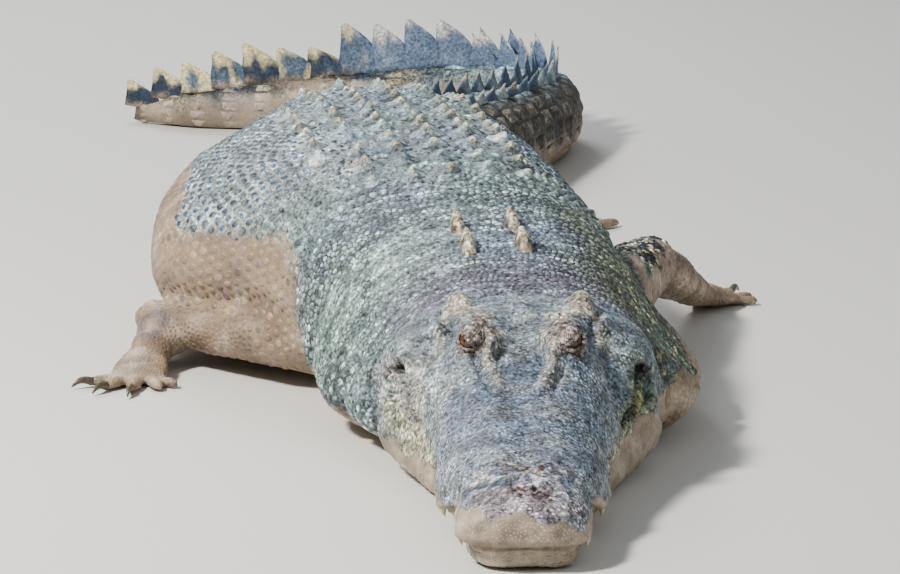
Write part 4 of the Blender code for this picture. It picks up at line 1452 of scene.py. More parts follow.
def mud_colours(points, distance, tone, rim, fine, on_head):
    """Tan mud, paler where it has dried, with grey spots on the scales and grey rings on the arm."""
    spots = step_up(tone + 0.7 * ripple(points, 0.06, 29), -0.1, 0.6) * (1 - step_up(rim, 0.5, 0.98))
    colour = blend(
        np.tile(COLOURS["mud"], (len(points), 1)),
        (0.45 * step_up(0.5 * ripple(points, 0.1, 28) + fine * 0.4, 0.0, 0.9), "dry_mud"),
        (0.75 * spots * step_up(distance, 0.75, 0.9), "mud_spot"),
        (0.45 * np.maximum(on_head, step_up(distance, 3.6, 3.9)), "dry_mud"))
    for ahead, aside, height, reach in ARM_RINGS:
        near = away_from(points, SNOUT + Vector((ahead, aside, height))) + 0.004 * fine
        colour = blend(colour, (0.85 * bell(near - reach, 0.01), "mud_spot"),
                       (0.6 * bell(near, reach * 0.55), "dry_mud"))
    return colour


print("mud and the frame of the markings ready")


# %% Markings of neck, trunk and tail
def back_colours(colour, points, distance, side, tone, rim, fine):
    """Dark scale centres on the flank, a black elbow, and painted shade on the left of cheek and neck, in the
    neck's creases and behind the jaw.
    """
    trunk = stretch(distance, 1.2, 1.45, 2.5, 2.8)
    flank = trunk * step_up(abs(side) / by_side(BODY, distance, side), 0.28, 0.46)
    back = trunk * (1 - flank)
    centre = 1 - step_up(rim, 0.6, 0.98)
    neck = bell(distance - 0.8, 0.085) * step_up(points[:, 2], 0.18, 0.27)
    wavy = distance + neck_wobble(points)
    # Painted shade in the creases across the neck.
    crease = np.max([bell(wavy - place, 0.0065) for place in NECK_CREASES], axis=0)
    broad = ripple(points, 0.12, 42)
    left_neck = step_up(side, 0.08, 0.22) * stretch(distance, 0.6, 0.8, 1.2, 1.5)
    left_neck = left_neck * step_up(fine + tone * 0.5, -0.4, 0.8)
    # Painted shade over the left side of cheek and neck, in the colour shade.
    painted_left_shade = step_up(side, 0.09, 0.19) * stretch(distance, 0.5, 0.72, 1.15, 1.5)
    behind_jaw = step_up(side, 0.16, 0.23) * stretch(distance, 0.69, 0.74, 0.95, 1.15)
    green_flecks = step_up(ripple(points, 0.014, 41) + 0.3 * tone, 0.35, 0.8)
    pale_flecks = step_up(ripple(points, 0.012, 43) + 0.3 * tone, 0.55, 0.95)
    shoulder = bell(np.hypot(distance - 0.98, side + 0.26), 0.16)
    elbow = on_leg(points, distance, side) * (distance > 1.3) * (distance < 2.0) * (side > 0)
    upright = points * (1.0, 1.0, 0.55)
    sore = bell(np.hypot(distance - 1.475, side + 0.134), 0.013)
    scar = bell(np.hypot(distance - 1.384, side + 0.15), 0.014)
    return blend(
        colour,
        (0.95 * flank * centre * step_up(tone + 0.6 * fine, -0.6, 0.05), "deep_blue"),
        (0.72 * flank * (1 - centre), "pale_grey"),
        (0.5 * back * step_up(tone + 0.5 * fine, 0.1, 1.1), "deep_blue"),
        (0.4 * back * step_up(-tone + 0.4 * fine, 0.2, 1.0), "pale_grey"),
        (0.75 * neck, "mauve"),
        (0.65 * neck * step_up(fine + 0.5 * tone, -0.3, 0.9), "slate"),
        # painted shade in the neck's creases
        (0.62 * crease * step_up(fine + broad, -0.9, 0.7), "painted_shade_dark"),
        (0.5 * left_neck, "slate"),
        (0.45 * left_neck, "moss"),
        # painted shade on the left of cheek and neck
        (painted_left_shade * (0.48 + 0.2 * broad), "shade"),
        # painted shade behind the jaw, below the moss and cream flecks
        (0.32 * behind_jaw, "painted_shade_dark"),
        (0.6 * behind_jaw * green_flecks, "moss"),
        (0.55 * behind_jaw * pale_flecks, "cream"),
        (0.35 * shoulder * step_up(fine - tone * 0.4, -0.4, 0.8), "green_grey"),
        (0.95 * elbow, "black"),
        (0.55 * elbow * step_up(ripple(upright, 0.03, 45), 0.2, 0.8), "deep_blue"),
        (0.8 * elbow * step_up(ripple(upright, 0.013, 32) + 0.45 * tone, 0.3, 0.75), "cream"),
        (0.55 * elbow * step_up(ripple(upright, 0.016, 46), 0.65, 1.0), "pale_grey"),
        (1.6 * sore, "scab"),
        (1.4 * scar, "pink"))


def tail_colours(colour, points, distance, side, tone, fine):
    """The tail's end is navy with cream patches, its middle blue-grey; at the bend its left side is brown,
    hide darkened by wet mud and painted shade, with more painted shade towards the bottom.
    """
    end = step_up(distance, 3.8, 4.0)
    patches = step_up(ripple(points, 0.055, 31) + 0.4 * fine + 0.5 * tone, 0.35, 0.75)
    share = points[:, 2] / table_at(BODY, 3, distance) + 0.05 * fine
    bend = stretch(distance, 2.7, 2.85, 3.6, 3.8)
    return blend(
        colour,
        (0.45 * step_up(distance, 2.6, 3.2) * step_up(fine + tone, -0.3, 1.2), "slate"),
        (0.85 * end, "navy"),
        (0.5 * end * patches, "cream"),
        # brown of wet hide on the bend's left side, partly painted shade
        (0.85 * bend * (side > 0) * (1 - step_up(share, 0.88, 0.99)), "brown"),
        # painted shade, darker towards the bottom of the tail
        (0.6 * bend * (1 - step_up(share, 0.4, 0.8)), "painted_shade_dark"))


print("markings of neck, trunk and tail ready")


# %% Markings of the head
# Tan ridges of the head: path of (distance, from midline), half width, strength.
TAN_RIDGES = (
    (((0.68, 0.103), (0.652, 0.102), (0.64, 0.12)), 0.019, 0.85),
    (((0.64, 0.098), (0.612, 0.084), (0.592, 0.062)), 0.019, 0.62),
    (((0.512, 0.033), (0.5, 0.04), (0.46, 0.056)), 0.01, 0.62),
    (((0.45, 0.048), (0.425, 0.04), (0.405, 0.034)), 0.011, 0.42),
    (((0.593, 0.131), (0.58, 0.134)), 0.012, 0.45),
)
NOSE_SCABS = ((0.15, 0.005, 0.018), (0.052, 0.008, 0.014))    # distance, side, reach


def head_colours(colour, points, distance, side, tone, fine, tiny):
    """Blotches of the whole head, tan ridges, mauve lids, then mouth, jaw and nose, with painted shade along
    the mouth's line.
    """
    z, far = points[:, 2], abs(side)
    head = 1 - step_up(distance, 0.7, 0.76)
    patches = ripple(points, 0.045, 53) + 0.35 * fine
    colour = blend(
        colour,
        (head * (0.42 - 0.3 * step_up(distance, 0.4, 0.56)), "lavender"),
        (0.3 * head * step_up(distance, 0.42, 0.62) * step_up(fine, -0.9, 0.9), "green_grey"),
        (head * 0.3 * step_up(-fine + 0.5 * tone, 0.2, 1.2), "mauve"),
        (head * 0.5 * step_up(patches, 0.0, 0.9), "slate"),
        (head * 0.45 * step_up(-patches, 0.0, 0.9), "pale_grey"),
        (head * 0.55 * step_up(tiny + 0.4 * fine, 0.2, 1.0), "slate"),
        (head * 0.45 * step_up(-tiny - 0.4 * fine, 0.3, 1.2), "pale_grey"))
    for path, width, strength in TAN_RIDGES:
        colour = blend(colour, (strength * bell(near_path(distance, far, path), width) * (z > 0.15), "tan"))
    colour = lid_colours(colour, points, distance, side, tone, tiny)
    cheek = step_up(-side, 0.1, 0.15) * bell(distance - 0.46, 0.1)
    corner = np.sqrt((distance - 0.585) ** 2 + ((z - 0.13) / 0.9) ** 2) + 0.008 * fine
    outer, outside, left = far > 0.15, step_up(far, 0.12, 0.15), side > 0
    mouth = near_path(distance, z, GAPE)
    lip_edge = outside * bell(mouth - 0.014, 0.007) * (distance < 0.6)
    upper_lip = head * stretch(distance, 0.3, 0.36, 0.5, 0.54)
    above_lips = z - table_at(HEAD, 3, distance)
    jaw = bell(distance - 0.61, 0.095) * bell(z - 0.152, 0.042) * (side < -0.155)
    jaw = np.minimum(1, 1.4 * jaw)
    bands = np.sin(2 * np.pi * (z + 0.1 * (distance - 0.6)) / 0.016 + 1.2 + 0.5 * fine)
    bands = step_up(bands, 0.0, 0.8) * step_up(distance + 0.01 * fine, 0.56, 0.585)
    colour = blend(
        colour,
        (0.65 * cheek, "pale_grey"),
        (0.7 * bell(corner, 0.05) * outer * step_up(fine + 0.5, -0.8, 0.6), "fern"),
        (0.5 * bell(corner, 0.04) * outer * step_up(tiny, 0.2, 0.9), "moss"),
        (0.4 * bell(np.hypot(distance - 0.56, z - 0.118), 0.02) * outer, "yellow"),
        ((0.2 + 0.18 * left) * lip_edge * step_up(fine + 0.6 * tiny, -0.5, 0.7), "yellow"),
        ((0.3 + 0.25 * left) * lip_edge * step_up(-fine + 0.6 * tiny, -0.2, 0.7), "moss"),
        # painted shade along the mouth's line
        (1.2 * outside * bell(mouth, 0.007), "painted_shade_dark"),
        (0.55 * upper_lip * bell(above_lips - 0.014, 0.012), "cream"),
        (0.85 * jaw, "white"),
        (0.85 * jaw * bands, "fern"),
        (0.4 * jaw * step_up(ripple(points, 0.02, 40), 0.3, 0.9), "teal"),
        # more painted shade along the mouth's line on the right side
        (1.1 * (side < -0.12) * bell(mouth, 0.005), "painted_shade_dark"))
    colour = nose_colours(colour, points, distance, side, fine, tiny)
    lower = (1 - step_up(above_lips, -0.008, 0.0)) * (1 - step_up(distance, 0.5, 0.66))
    return blend(colour, (0.65 * head * lower, "cream"))


def lid_colours(colour, points, distance, side, tone, tiny):
    """Mauve lids with dark and white flecks that run out from the eye like rays."""
    z, far = points[:, 2], abs(side)
    dome = np.hypot((distance - 0.506) / 1.15, far - 0.073) + np.clip(0.245 - z, 0, None)
    turn = np.arctan2(far - 0.078, distance - 0.49)
    rays = np.sin(34 * turn + 1.5 * ripple(points, 0.01, 49))
    dark = step_up(0.6 * rays + ripple(points, 0.005, 38) + 0.4 * tone, 0.35, 1.0)
    light = step_up(ripple(points, 0.0045, 39) - 0.4 * tone - 0.4 * rays, 0.65, 1.1)
    on_dome = 1 - step_up(dome + 0.003 * tiny, 0.027, 0.036)
    for centre, looks in eye_centres():
        lid = np.maximum(1 - step_up(away_from(points, centre), 0.028, 0.034), on_dome)
        lid = lid * (side * looks.x > 0)
        colour = blend(colour, (0.92 * lid, "lid"), (0.75 * lid * dark, "black"),
                       (0.6 * lid * light, "white"))
    return colour


def nose_colours(colour, points, distance, side, fine, tiny):
    """A pale, blotched nose with a rose tip, one blue patch and two scabs."""
    z, far = points[:, 2], abs(side)
    nose = (1 - step_up(distance + 0.02 * fine, 0.15, 0.185)) * (z > 0.085) * (1 - step_up(far, 0.075, 0.1))
    tip = (1 - step_up(distance + 0.015 * fine, 0.045, 0.085)) * step_up(z, 0.05, 0.075)
    blue = bell(np.hypot(distance - 0.085 + 0.5 * side + 0.02, (side + 0.055) * 0.6), 0.034)
    colour = blend(
        colour,
        (0.5 * nose * step_up(ripple(points, 0.026, 34) + 0.5 * tiny - 6 * side, -0.5, 0.9), "rose"),
        (0.45 * nose * step_up(ripple(points, 0.02, 50), 0.0, 0.8), "lavender"),
        (0.9 * nose * step_up(ripple(points, 0.012, 35), 0.0, 0.6), "white"),
        (0.7 * nose * step_up(ripple(points, 0.01, 36), 0.5, 0.9), "slate"),
        (0.8 * tip * (1 - 0.5 * step_up(side, 0.02, 0.06)), "rose"),
        (0.95 * blue * step_up(ripple(points, 0.014, 51) + 0.5 * tiny, -0.4, 0.3), "deep_blue"))
    dots = step_up(ripple(points, 0.0065, 37) + 0.3 * tiny, 0.1, 0.5) * (z > 0.085)
    for place, centre, reach in NOSE_SCABS:
        scab = bell(np.hypot(distance - place, (side - centre) * 0.36), reach)
        colour = blend(colour, (1.5 * scab * dots, "scab"))
    return colour


print("tan ridges", len(TAN_RIDGES), "and scabs of the nose", len(NOSE_SCABS))


# %% Keep the markings on a piece
def paint(piece, tone=None, rim=0.8, depth=None, crown=None, edge=None, tint=None):
    """Keeps the markings on a piece's points.

    tone lightens or darkens, rim is 1 at a scale's rim, depth is 1 in a groove, where the material paints
    shade, and crown is 1 along the top of a keel and edge at its foot.  crown and edge carry painted light: a
    painted highlight on the keel's top, and painted shade on its sides and round its foot.  tint may change
    the colours last.
    """
    points, _ = mesh_arrays(piece.data)
    distance, side = along_spine(points)
    tone = np.zeros(len(points)) if tone is None else tone
    rim = np.full(len(points), rim) if np.isscalar(rim) else rim
    depth = rim if depth is None else depth
    colour, mud = markings(points, distance, side, tone, rim)
    if crown is not None:
        clean = (1 - mud) * (1 - step_up(distance, 2.5, 2.9))
        # Painted light on keeled scales: navy painted shade round the keel's foot, a cream painted highlight
        # along its top, and navy painted shade on its sides.
        colour = blend(
            colour,
            (0.55 * clean * edge * step_up(ripple(points, 0.03, 52), -0.9, 0.3), "navy"),
            (0.7 * clean * crown * (ripple(points, 0.03, 33) > -0.5), "cream"),
            (0.75 * clean * bell(crown - 0.3, 0.22), "navy"))
    if tint is not None:
        colour, mud = tint(colour, mud, points, distance, side)
    keep = piece.data.attributes.new("Markings", "FLOAT_COLOR", "POINT")
    keep.data.foreach_set("color", np.concatenate([colour, np.ones((len(points), 1))], 1).ravel())
    # Groove says how much painted shade the material lays on a point.
    groove = np.maximum(step_up(depth, 0.9, 1.0), 0.5 * depth)
    for name, amount in (("Mud", mud), ("Groove", groove)):
        piece.data.attributes.new(name, "FLOAT", "POINT").data.foreach_set("value", amount)


# The hide lies in the grooves between the scales, so it is marked as deep in a groove, and its material
# paints shade on it.
paint(hide, rim=0.97)
paint(eyelids, rim=0.3)
print("markings kept on hide and lids")


# %% [markdown]
# Crocodile hide is leathery, fine-grained and half wet.  Its material reads the kept
# markings, adds speckles of a few millimetres and fine wrinkles, paints shade into the
# grooves between scales, and makes mud smoother, wetter and shinier than clean hide.


# %% Wet crocodile hide
def hide_material(name, painted_groove_shade, speckle, bump):
    """Leathery hide: keratin over skin, IOR 1.5, rough when dry and glossy where muddy, with painted shade in
    its grooves.
    """
    material, shader, add = new_material(name)
    place = add("ShaderNodeTexCoord").outputs["Object"]
    marks = add("ShaderNodeAttribute", {"attribute_name": "Markings"}).outputs["Color"]
    mud = add("ShaderNodeAttribute", {"attribute_name": "Mud"}).outputs["Fac"]
    groove = add("ShaderNodeAttribute", {"attribute_name": "Groove"}).outputs["Fac"]
    # Speckles 4 mm apart, a little coarser than real pigment spots, so that they show.
    spots = add("ShaderNodeTexNoise", Vector=place, Scale=170.0, Detail=3.0, Roughness=0.65)
    patch = add("ShaderNodeTexNoise", Vector=place, Scale=60.0, Detail=4.0, Roughness=0.62)
    clean = add("ShaderNodeMath", LESS, i0=1.0, i1=mud).outputs[0]
    strength = add("ShaderNodeMath", TIMES_PLUS, i0=clean, i1=speckle, i2=0.16).outputs[0]
    light = add("ShaderNodeMapRange", Value=spots.outputs["Fac"], From_Min=0.34, From_Max=0.66,
                To_Min=0.22, To_Max=1.85).outputs[0]
    wash = add("ShaderNodeMapRange", Value=patch.outputs["Fac"], From_Min=0.32, From_Max=0.68,
               To_Min=0.55, To_Max=1.5).outputs[0]
    both = add("ShaderNodeMath", TIMES, i0=light, i1=wash).outputs[0]
    shade = add("ShaderNodeMix", {"data_type": "FLOAT"}, i0=strength, i2=1.0, i3=both).outputs[0]
    # Painted shade: a point deep in a groove between scales is darkened, down to painted_groove_shade, and
    # less so where mud fills the groove.
    depth = add("ShaderNodeMapRange", {"interpolation_type": "SMOOTHSTEP"}, Value=groove,
                From_Min=0.55, From_Max=1.0, To_Min=1.0, To_Max=painted_groove_shade).outputs[0]
    filled = add("ShaderNodeMath", TIMES, i0=mud, i1=0.75).outputs[0]
    depth = add("ShaderNodeMix", {"data_type": "FLOAT"}, i0=filled, i2=depth, i3=1.0).outputs[0]
    shade = add("ShaderNodeMath", TIMES, i0=shade, i1=depth).outputs[0]
    colour = add("ShaderNodeVectorMath", {"operation": "SCALE"}, i0=marks, Scale=shade).outputs[0]
    # Clean hide is rough at 0.55, and drying mud is a little smoother, at 0.46.
    gloss = add("ShaderNodeMapRange", Value=mud, To_Min=0.55, To_Max=0.46).outputs[0]
    gloss = add("ShaderNodeMath", LESS, i0=gloss, i1=0.11).outputs[0]
    gloss = add("ShaderNodeMath", TIMES_PLUS, i0=patch.outputs["Fac"], i1=0.22, i2=gloss).outputs[0]
    # Grain of 2 mm and wrinkles of 8 mm.
    grain = add("ShaderNodeTexVoronoi", Vector=place, Scale=420.0).outputs["Distance"]
    folds = add("ShaderNodeTexNoise", Vector=place, Scale=120.0, Detail=5.0, Roughness=0.6)
    height = add("ShaderNodeMath", TIMES_PLUS, i0=grain, i1=0.35, i2=folds.outputs["Fac"]).outputs[0]
    bumpy = add("ShaderNodeMath", TIMES_PLUS, i0=clean, i1=bump * 0.6, i2=bump * 0.4).outputs[0]
    relief = add("ShaderNodeBump", Strength=bumpy, Distance=0.0016, Height=height).outputs[0]
    wire(shader, Base_Color=colour, Roughness=gloss, IOR=1.5, Normal=relief)
    return material


wet_hide = hide_material("wet crocodile hide", 0.24, 0.9, 0.75)
scale_hide = hide_material("keratin scales", 0.16, 0.95, 0.7)
hide.data.materials.append(wet_hide)
eyelids.data.materials.append(wet_hide)
print("materials:", wet_hide.name, "and", scale_hide.name)


# %% Wet eye
# Colours of the iris, from its middle to the white: share of half a turn, and colour.
IRIS = ((0.0, "#7d5228"), (0.1, "#6a4223"), (0.19, "#4c2e1c"), (0.27, "#341f15"),
        (0.31, "#15100d"), (0.4, "#231b17"))


def eye_material():
    """A wet eyeball: amber iris, dark rim, upright slit pupil, under a clear glossy coat."""
    material, shader, add = new_material("wet eye")
    flat = add("ShaderNodeUVMap", {"uv_map": "Iris"}).outputs[0]
    parts = add("ShaderNodeSeparateXYZ", Vector=flat).outputs
    radius = add("ShaderNodeVectorMath", LENGTH, i0=flat).outputs["Value"]
    fibres = add("ShaderNodeTexNoise", Vector=flat, Scale=46.0, Detail=4.0).outputs["Fac"]
    ring = add("ShaderNodeMath", TIMES_PLUS, i0=fibres, i1=0.05, i2=radius).outputs[0]
    ramp = add("ShaderNodeValToRGB", Fac=ring)
    stops = ramp.color_ramp.elements
    stops[0].color = (*linear(IRIS[0][1]), 1)
    stops[1].position, stops[1].color = IRIS[-1][0], (*linear(IRIS[-1][1]), 1)
    for position, code in IRIS[1:-1]:
        stops.new(position).color = (*linear(code), 1)
    tall = add("ShaderNodeMath", TIMES, i0=parts["Y"], i1=0.16).outputs[0]
    slit = add("ShaderNodeCombineXYZ", X=parts["X"], Y=tall).outputs[0]
    narrow = add("ShaderNodeVectorMath", LENGTH, i0=slit).outputs["Value"]
    pupil = add("ShaderNodeMapRange", Value=narrow, From_Min=0.022, From_Max=0.028,
                To_Min=1.0, To_Max=0.0).outputs[0]
    colour = add("ShaderNodeMix", {"data_type": "RGBA"}, i0=pupil, i6=ramp.outputs["Color"],
                 i7=(*linear("#0d0a0a"), 1)).outputs[2]
    wire(shader, Base_Color=colour, Roughness=0.12, IOR=1.376, Coat_Weight=1.0, Coat_Roughness=0.03)
    return material


eyeballs.data.materials.append(eye_material())
print("hide and eye materials ready")


# %% [markdown]
# Some scales stand in rows.  On the back are keeled scutes in rows and columns.  On the
# flank are oval scales in rows from back to belly.  Each whorl of the tail is a ring of
# long ones, and the belly has oblong flat ones.  Everywhere else roots are scattered at
# random, closer on face and feet, and are pushed apart until they are evenly spaced.

# %% Roots in rows
SCUTE_ROW, SCUTE_COLUMN, SCUTE_SIZE = 0.0745, 0.07, 0.072
FLANK_ROW, FLANK_PITCH = 0.0186, 0.0205
BELLY_ROW, BELLY_COLUMN, BELLY_SIZE = 0.037, 0.044, 0.04
WHORL_PITCH = (0.046, 0.02)            # on the first whorl and on the last
HEAD_END, FLANK_START, FIRST_SCUTE = 0.735, 1.235, 1.285
LIMB_SHARE = 0.3                        # a root this far out on a leg is the leg's own
KINDS = {name: number for number, name in enumerate(
    ("scute", "flank", "whorl", "belly", "neck", "head", "limb"))}


def dropped(distance, side, height, direction):
    """Where rays straight down or up from beside the spine meet the hide."""
    found, starts = [], on_spine(np.asarray(distance, float), np.asarray(side, float), height)
    for start, place, across in zip(starts.tolist(), distance, side):
        hit = hide_tree.ray_cast(Vector(start), Vector((0, 0, direction)))[0]
        if hit is not None:
            found.append((*hit, place, across))
    return np.array(found)


def scute_roots():
    """Roots of the back's scutes, in rows across it."""
    rows, columns = np.meshgrid(np.arange(FIRST_SCUTE, RUMP_END - 0.02, SCUTE_ROW),
                                np.arange(-4, 5) * SCUTE_COLUMN, indexing="ij")
    distance, side = rows.ravel(), columns.ravel()
    keep = abs(side) < 0.5 * by_side(BODY, distance, side) + 0.012
    return dropped(distance[keep] + 0.1 * side[keep] ** 2, side[keep] * 0.98, 0.9, -1)


def ring_places(distance, low, high, spacing, shift):
    """Points round the body at one distance, evenly spaced along its outline."""
    angles = np.radians(np.linspace(low, high, 240))
    line = body_point(np.full(240, distance), angles, -COAT)
    length = np.concatenate([[0], np.cumsum(np.linalg.norm(np.diff(line, axis=0), axis=1))])
    count = max(3, round(length[-1] / spacing))
    wanted = (np.arange(count) + 0.5 + shift) / count * length[-1]
    return np.stack([np.interp(wanted, length, line[:, axis]) for axis in range(3)], 1)


def flank_roots():
    """Roots of the flank's scales, each row shifted by half a scale from the last."""
    return np.vstack([ring_places(distance, -24, 204, FLANK_PITCH, 0.25 if number % 2 else -0.25)
                      for number, distance in enumerate(np.arange(FLANK_START, RUMP_END, FLANK_ROW))])


def whorl_roots():
    """Roots of the tail's scales, a ring for each whorl."""
    rows = []
    for number in range(WHORLS):
        spacing = np.interp(number, (0, WHORLS - 1), WHORL_PITCH)
        rows.append(ring_places(RUMP_END + (number + 0.5) * WHORL, -90, 270, spacing, 0.0))
    return np.vstack(rows)


def belly_roots():
    """Roots of the belly's flat scales, where it lies on the ground."""
    rows, columns = np.meshgrid(np.arange(0.76, RUMP_END, BELLY_ROW),
                                np.arange(-9, 10) * BELLY_COLUMN, indexing="ij")
    found = dropped(rows.ravel(), columns.ravel(), -0.2, 1)
    return found[found[:, 2] < FLOOR_CLEAR + 0.004]


print("kinds of scale:", ", ".join(KINDS))


# %% Roots at random
def limb_place(points):
    """Which part of which leg a point is nearest to, how far along it, and the angle round it."""
    best = np.full(len(points), 9.0)
    along, round_it = np.zeros(len(points)), np.zeros(len(points))
    number = 0
    for leg in LEGS:
        joints = joints_of(leg)
        for start, end in zip(joints, joints[1:]):
            ahead, across, up = tube_frame(start, end)
            gap = points - np.array(start)
            share = np.clip(gap @ ahead / (end - start).length, -0.3, 2.5 if end is joints[-1] else 1.0)
            away = gap - share[:, None] * np.array(end - start)
            far = np.linalg.norm(away, axis=1)
            nearer = far < best
            best = np.where(nearer, far, best)
            along = np.where(nearer, number * 3 + share, along)
            round_it = np.where(nearer, np.arctan2(away @ up, away @ across), round_it)
            number += 1
    return along, round_it


def foot_distance(points):
    """How far each point is from the nearest foot's toe roots."""
    return np.min([away_from(points, joints_of(leg)[-1]) for leg in LEGS], axis=0)


def eye_distance(points):
    """How far each point is from the nearer eye's middle."""
    return np.min([away_from(points, centre) for centre, _ in eye_centres()], axis=0)


def scale_pitch(points, distance, side, normals):
    """How far apart scattered scales are, in metres."""
    z, far = points[:, 2], abs(side)
    head = np.interp(distance, (0.0, 0.06, 0.15, 0.42, 0.72), (0.0066, 0.0074, 0.008, 0.0086, 0.0098))
    jaw = step_up(far, 0.13, 0.19) * step_up(distance, 0.35, 0.5) * (z < 0.16)
    head = np.minimum(head + 0.0035 * jaw, np.interp(eye_distance(points), (0.03, 0.07), (0.0056, 0.0102)))
    neck = np.interp(distance, (0.72, 0.95, 1.2, 1.4), (0.0112, 0.0128, 0.015, 0.0185))
    neck = neck + 0.003 * (1 - step_up(z, 0.08, 0.22))
    foot = np.interp(foot_distance(points), (0.0, 0.1, 0.2, 0.38), (0.0072, 0.0086, 0.012, 0.0165))
    limb = on_leg(points, distance, side) > LIMB_SHARE
    pitch = np.where(limb, foot, np.where(distance < HEAD_END, head, neck))
    underneath = (normals[:, 2] < -0.6) & (z < 0.03)
    return np.where(underneath, np.maximum(pitch, 0.02), pitch)


def everywhere(points, distance):
    """Every place but the lids, and the tail, which has its whorls."""
    return ((eye_distance(points) > 0.03) & (distance < RUMP_END + 0.3)).astype(float)


def rooted_in_rows():
    """Places, kinds and sizes of the roots in rows, without those that miss their ground."""
    parts = (("scute", scute_roots()[:, :3], SCUTE_SIZE), ("flank", flank_roots(), FLANK_ROW),
             ("whorl", whorl_roots(), 0.0), ("belly", belly_roots()[:, :3], BELLY_SIZE))
    places = np.vstack([part[1] for part in parts])
    kinds = np.concatenate([np.full(len(found), KINDS[kind]) for kind, found, _ in parts])
    sizes = np.concatenate([np.full(len(found), size) for _, found, size in parts])
    landed, _ = snapped(places)
    distance, side = along_spine(landed)
    flank, whorl, belly = (kinds == KINDS[kind] for kind in ("flank", "whorl", "belly"))
    sizes[whorl] = np.sqrt(WHORL * np.interp(distance[whorl], (RUMP_END, TOTAL_LENGTH), WHORL_PITCH))
    keep = np.linalg.norm(landed - places, axis=1) < np.where(whorl, 0.03, 0.016)
    keep &= (on_leg(landed, distance, side) < LIMB_SHARE) | whorl | belly
    big = landed[kinds == KINDS["scute"]]
    close = nearest(landed, big, 1)[:, 0]
    beside_scute = np.linalg.norm(landed - big[close], axis=1) < 0.0475
    keep &= ~(flank & (beside_scute | (landed[:, 2] < 0.016)))
    return landed[keep], kinds[keep], sizes[keep]


def gather_roots():
    """All roots: those in rows, and loose ones spread out over the rest of the hide."""
    landed, kinds, sizes = rooted_in_rows()
    loose, normals = snapped(scattered(scale_pitch, everywhere, 41))
    distance, side = along_spine(loose)
    loose_size = scale_pitch(loose, distance, side, normals)
    close = nearest(loose, landed, 1)[:, 0]
    gap = np.linalg.norm(loose - landed[close], axis=1)
    free = gap > np.where(kinds[close] == KINDS["whorl"], 0.04, 0.4 * (sizes[close] + loose_size))
    loose, loose_size = loose[free], loose_size[free]
    loose = spread_out(loose, loose_size, landed, sizes, 8)
    distance, side = along_spine(loose)
    behind = np.where(distance < FLANK_START, KINDS["neck"], KINDS["flank"])
    kind = np.where(distance < HEAD_END, KINDS["head"], behind)
    kind = np.where(on_leg(loose, distance, side) > LIMB_SHARE, KINDS["limb"], kind)
    return np.vstack([landed, loose]), np.concatenate([kinds, kind]), np.concatenate([sizes, loose_size])


def table_of_roots():
    """All roots as one table of arrays: place, directions, sizes, tone and kind of each."""
    places, kinds, sizes = gather_roots()
    places, normals = snapped(places)
    distance, side = along_spine(places)
    random = seeded(43)
    tone = 0.8 * random.uniform(-1, 1, len(places)) + 0.35 * ripple(places, 0.05, 44)
    ahead = on_spine(distance + 0.01, side, places[:, 2]) - places
    limb_along, limb_angle = limb_place(places)
    limb = kinds == KINDS["limb"]
    height = np.select([kinds == KINDS[k] for k in ("scute", "flank", "whorl", "belly", "neck", "head")],
                       [0.005, 0.0034, 0.003, 0.0011, 0.095 * sizes, 0.065 * sizes], 0.15 * sizes)
    height *= 1 + 0.25 * random.uniform(-1, 1, len(places))
    height *= 1 - np.where(distance < 0.74, 0.85, 0.55) * mud_amount(places, distance, side)
    low = (normals[:, 2] < -0.3) & (places[:, 2] < 0.03)
    height = np.where(low, 0.001, height)
    keel = np.select([kinds == KINDS["scute"], kinds == KINDS["whorl"]], [0.013, 0.0016], 0.0)
    keel = np.where(low, 0, keel * (1 + 0.3 * random.uniform(-1, 1, len(places))))
    return {"place": places, "normal": normals, "along": ahead, "size": sizes, "height": height,
            "keel": keel, "tone": tone, "kind": kinds, "distance": distance, "side": side,
            "u": np.where(limb, limb_along, distance),
            "v": np.where(limb, limb_angle, np.arctan2(places[:, 2] - 0.12, -side))}


roots = table_of_roots()
for kind_name, number in KINDS.items():
    print("roots of kind", kind_name, int((roots["kind"] == number).sum()))


# %% The coat of scales
def of_kind(name, low=-1.0, high=9.0, right=None):
    """Chooses roots of a kind, within a length of the body, on one side or both."""
    chosen = (roots["kind"] == KINDS[name]) & (roots["distance"] >= low) & (roots["distance"] < high)
    return chosen if right is None else chosen & ((roots["side"] < 0) == right)


coat = [
    scale_piece("back_scutes", SCUTE, of_kind("scute"), groove=0.0034, longer=1.06,
                sharp=7.0, sink=0.003, plain=0.8),
    scale_piece("tail_scales", SCUTE, of_kind("whorl"), longer=1.3, sharp=9.0, sink=0.002),
    scale_piece("belly_scales", SCALE, of_kind("belly"), sharp=8.0),
    scale_piece("flank_scales_right", SCALE, of_kind("flank", right=True), longer=1.06),
    scale_piece("flank_scales_left", SCALE, of_kind("flank", right=False), longer=1.06),
    scale_piece("neck_scales", SCALE, of_kind("neck"), groove=0.0006, longer=0.88, sharp=16.0),
    scale_piece("snout_scales", GRAIN, of_kind("head", high=0.4), groove=0.0004, sink=0.0007),
    scale_piece("skull_scales", GRAIN, of_kind("head", low=0.4), groove=0.0004, sink=0.0007),
    scale_piece("arm_scales", SCALE, of_kind("limb", high=2.0)),
    scale_piece("leg_scales", SCALE, of_kind("limb", low=2.0)),
]
print("coat of", len(coat), "pieces")


# %% [markdown]
# The crest of the tail is horn over skin.  Each blade is one cube, cut finer, then
# drawn out: its front edge rises and leans back, its rear edge is steep, and it thins
# towards the top.  Two rows run along the tail's front part and one row along its end.

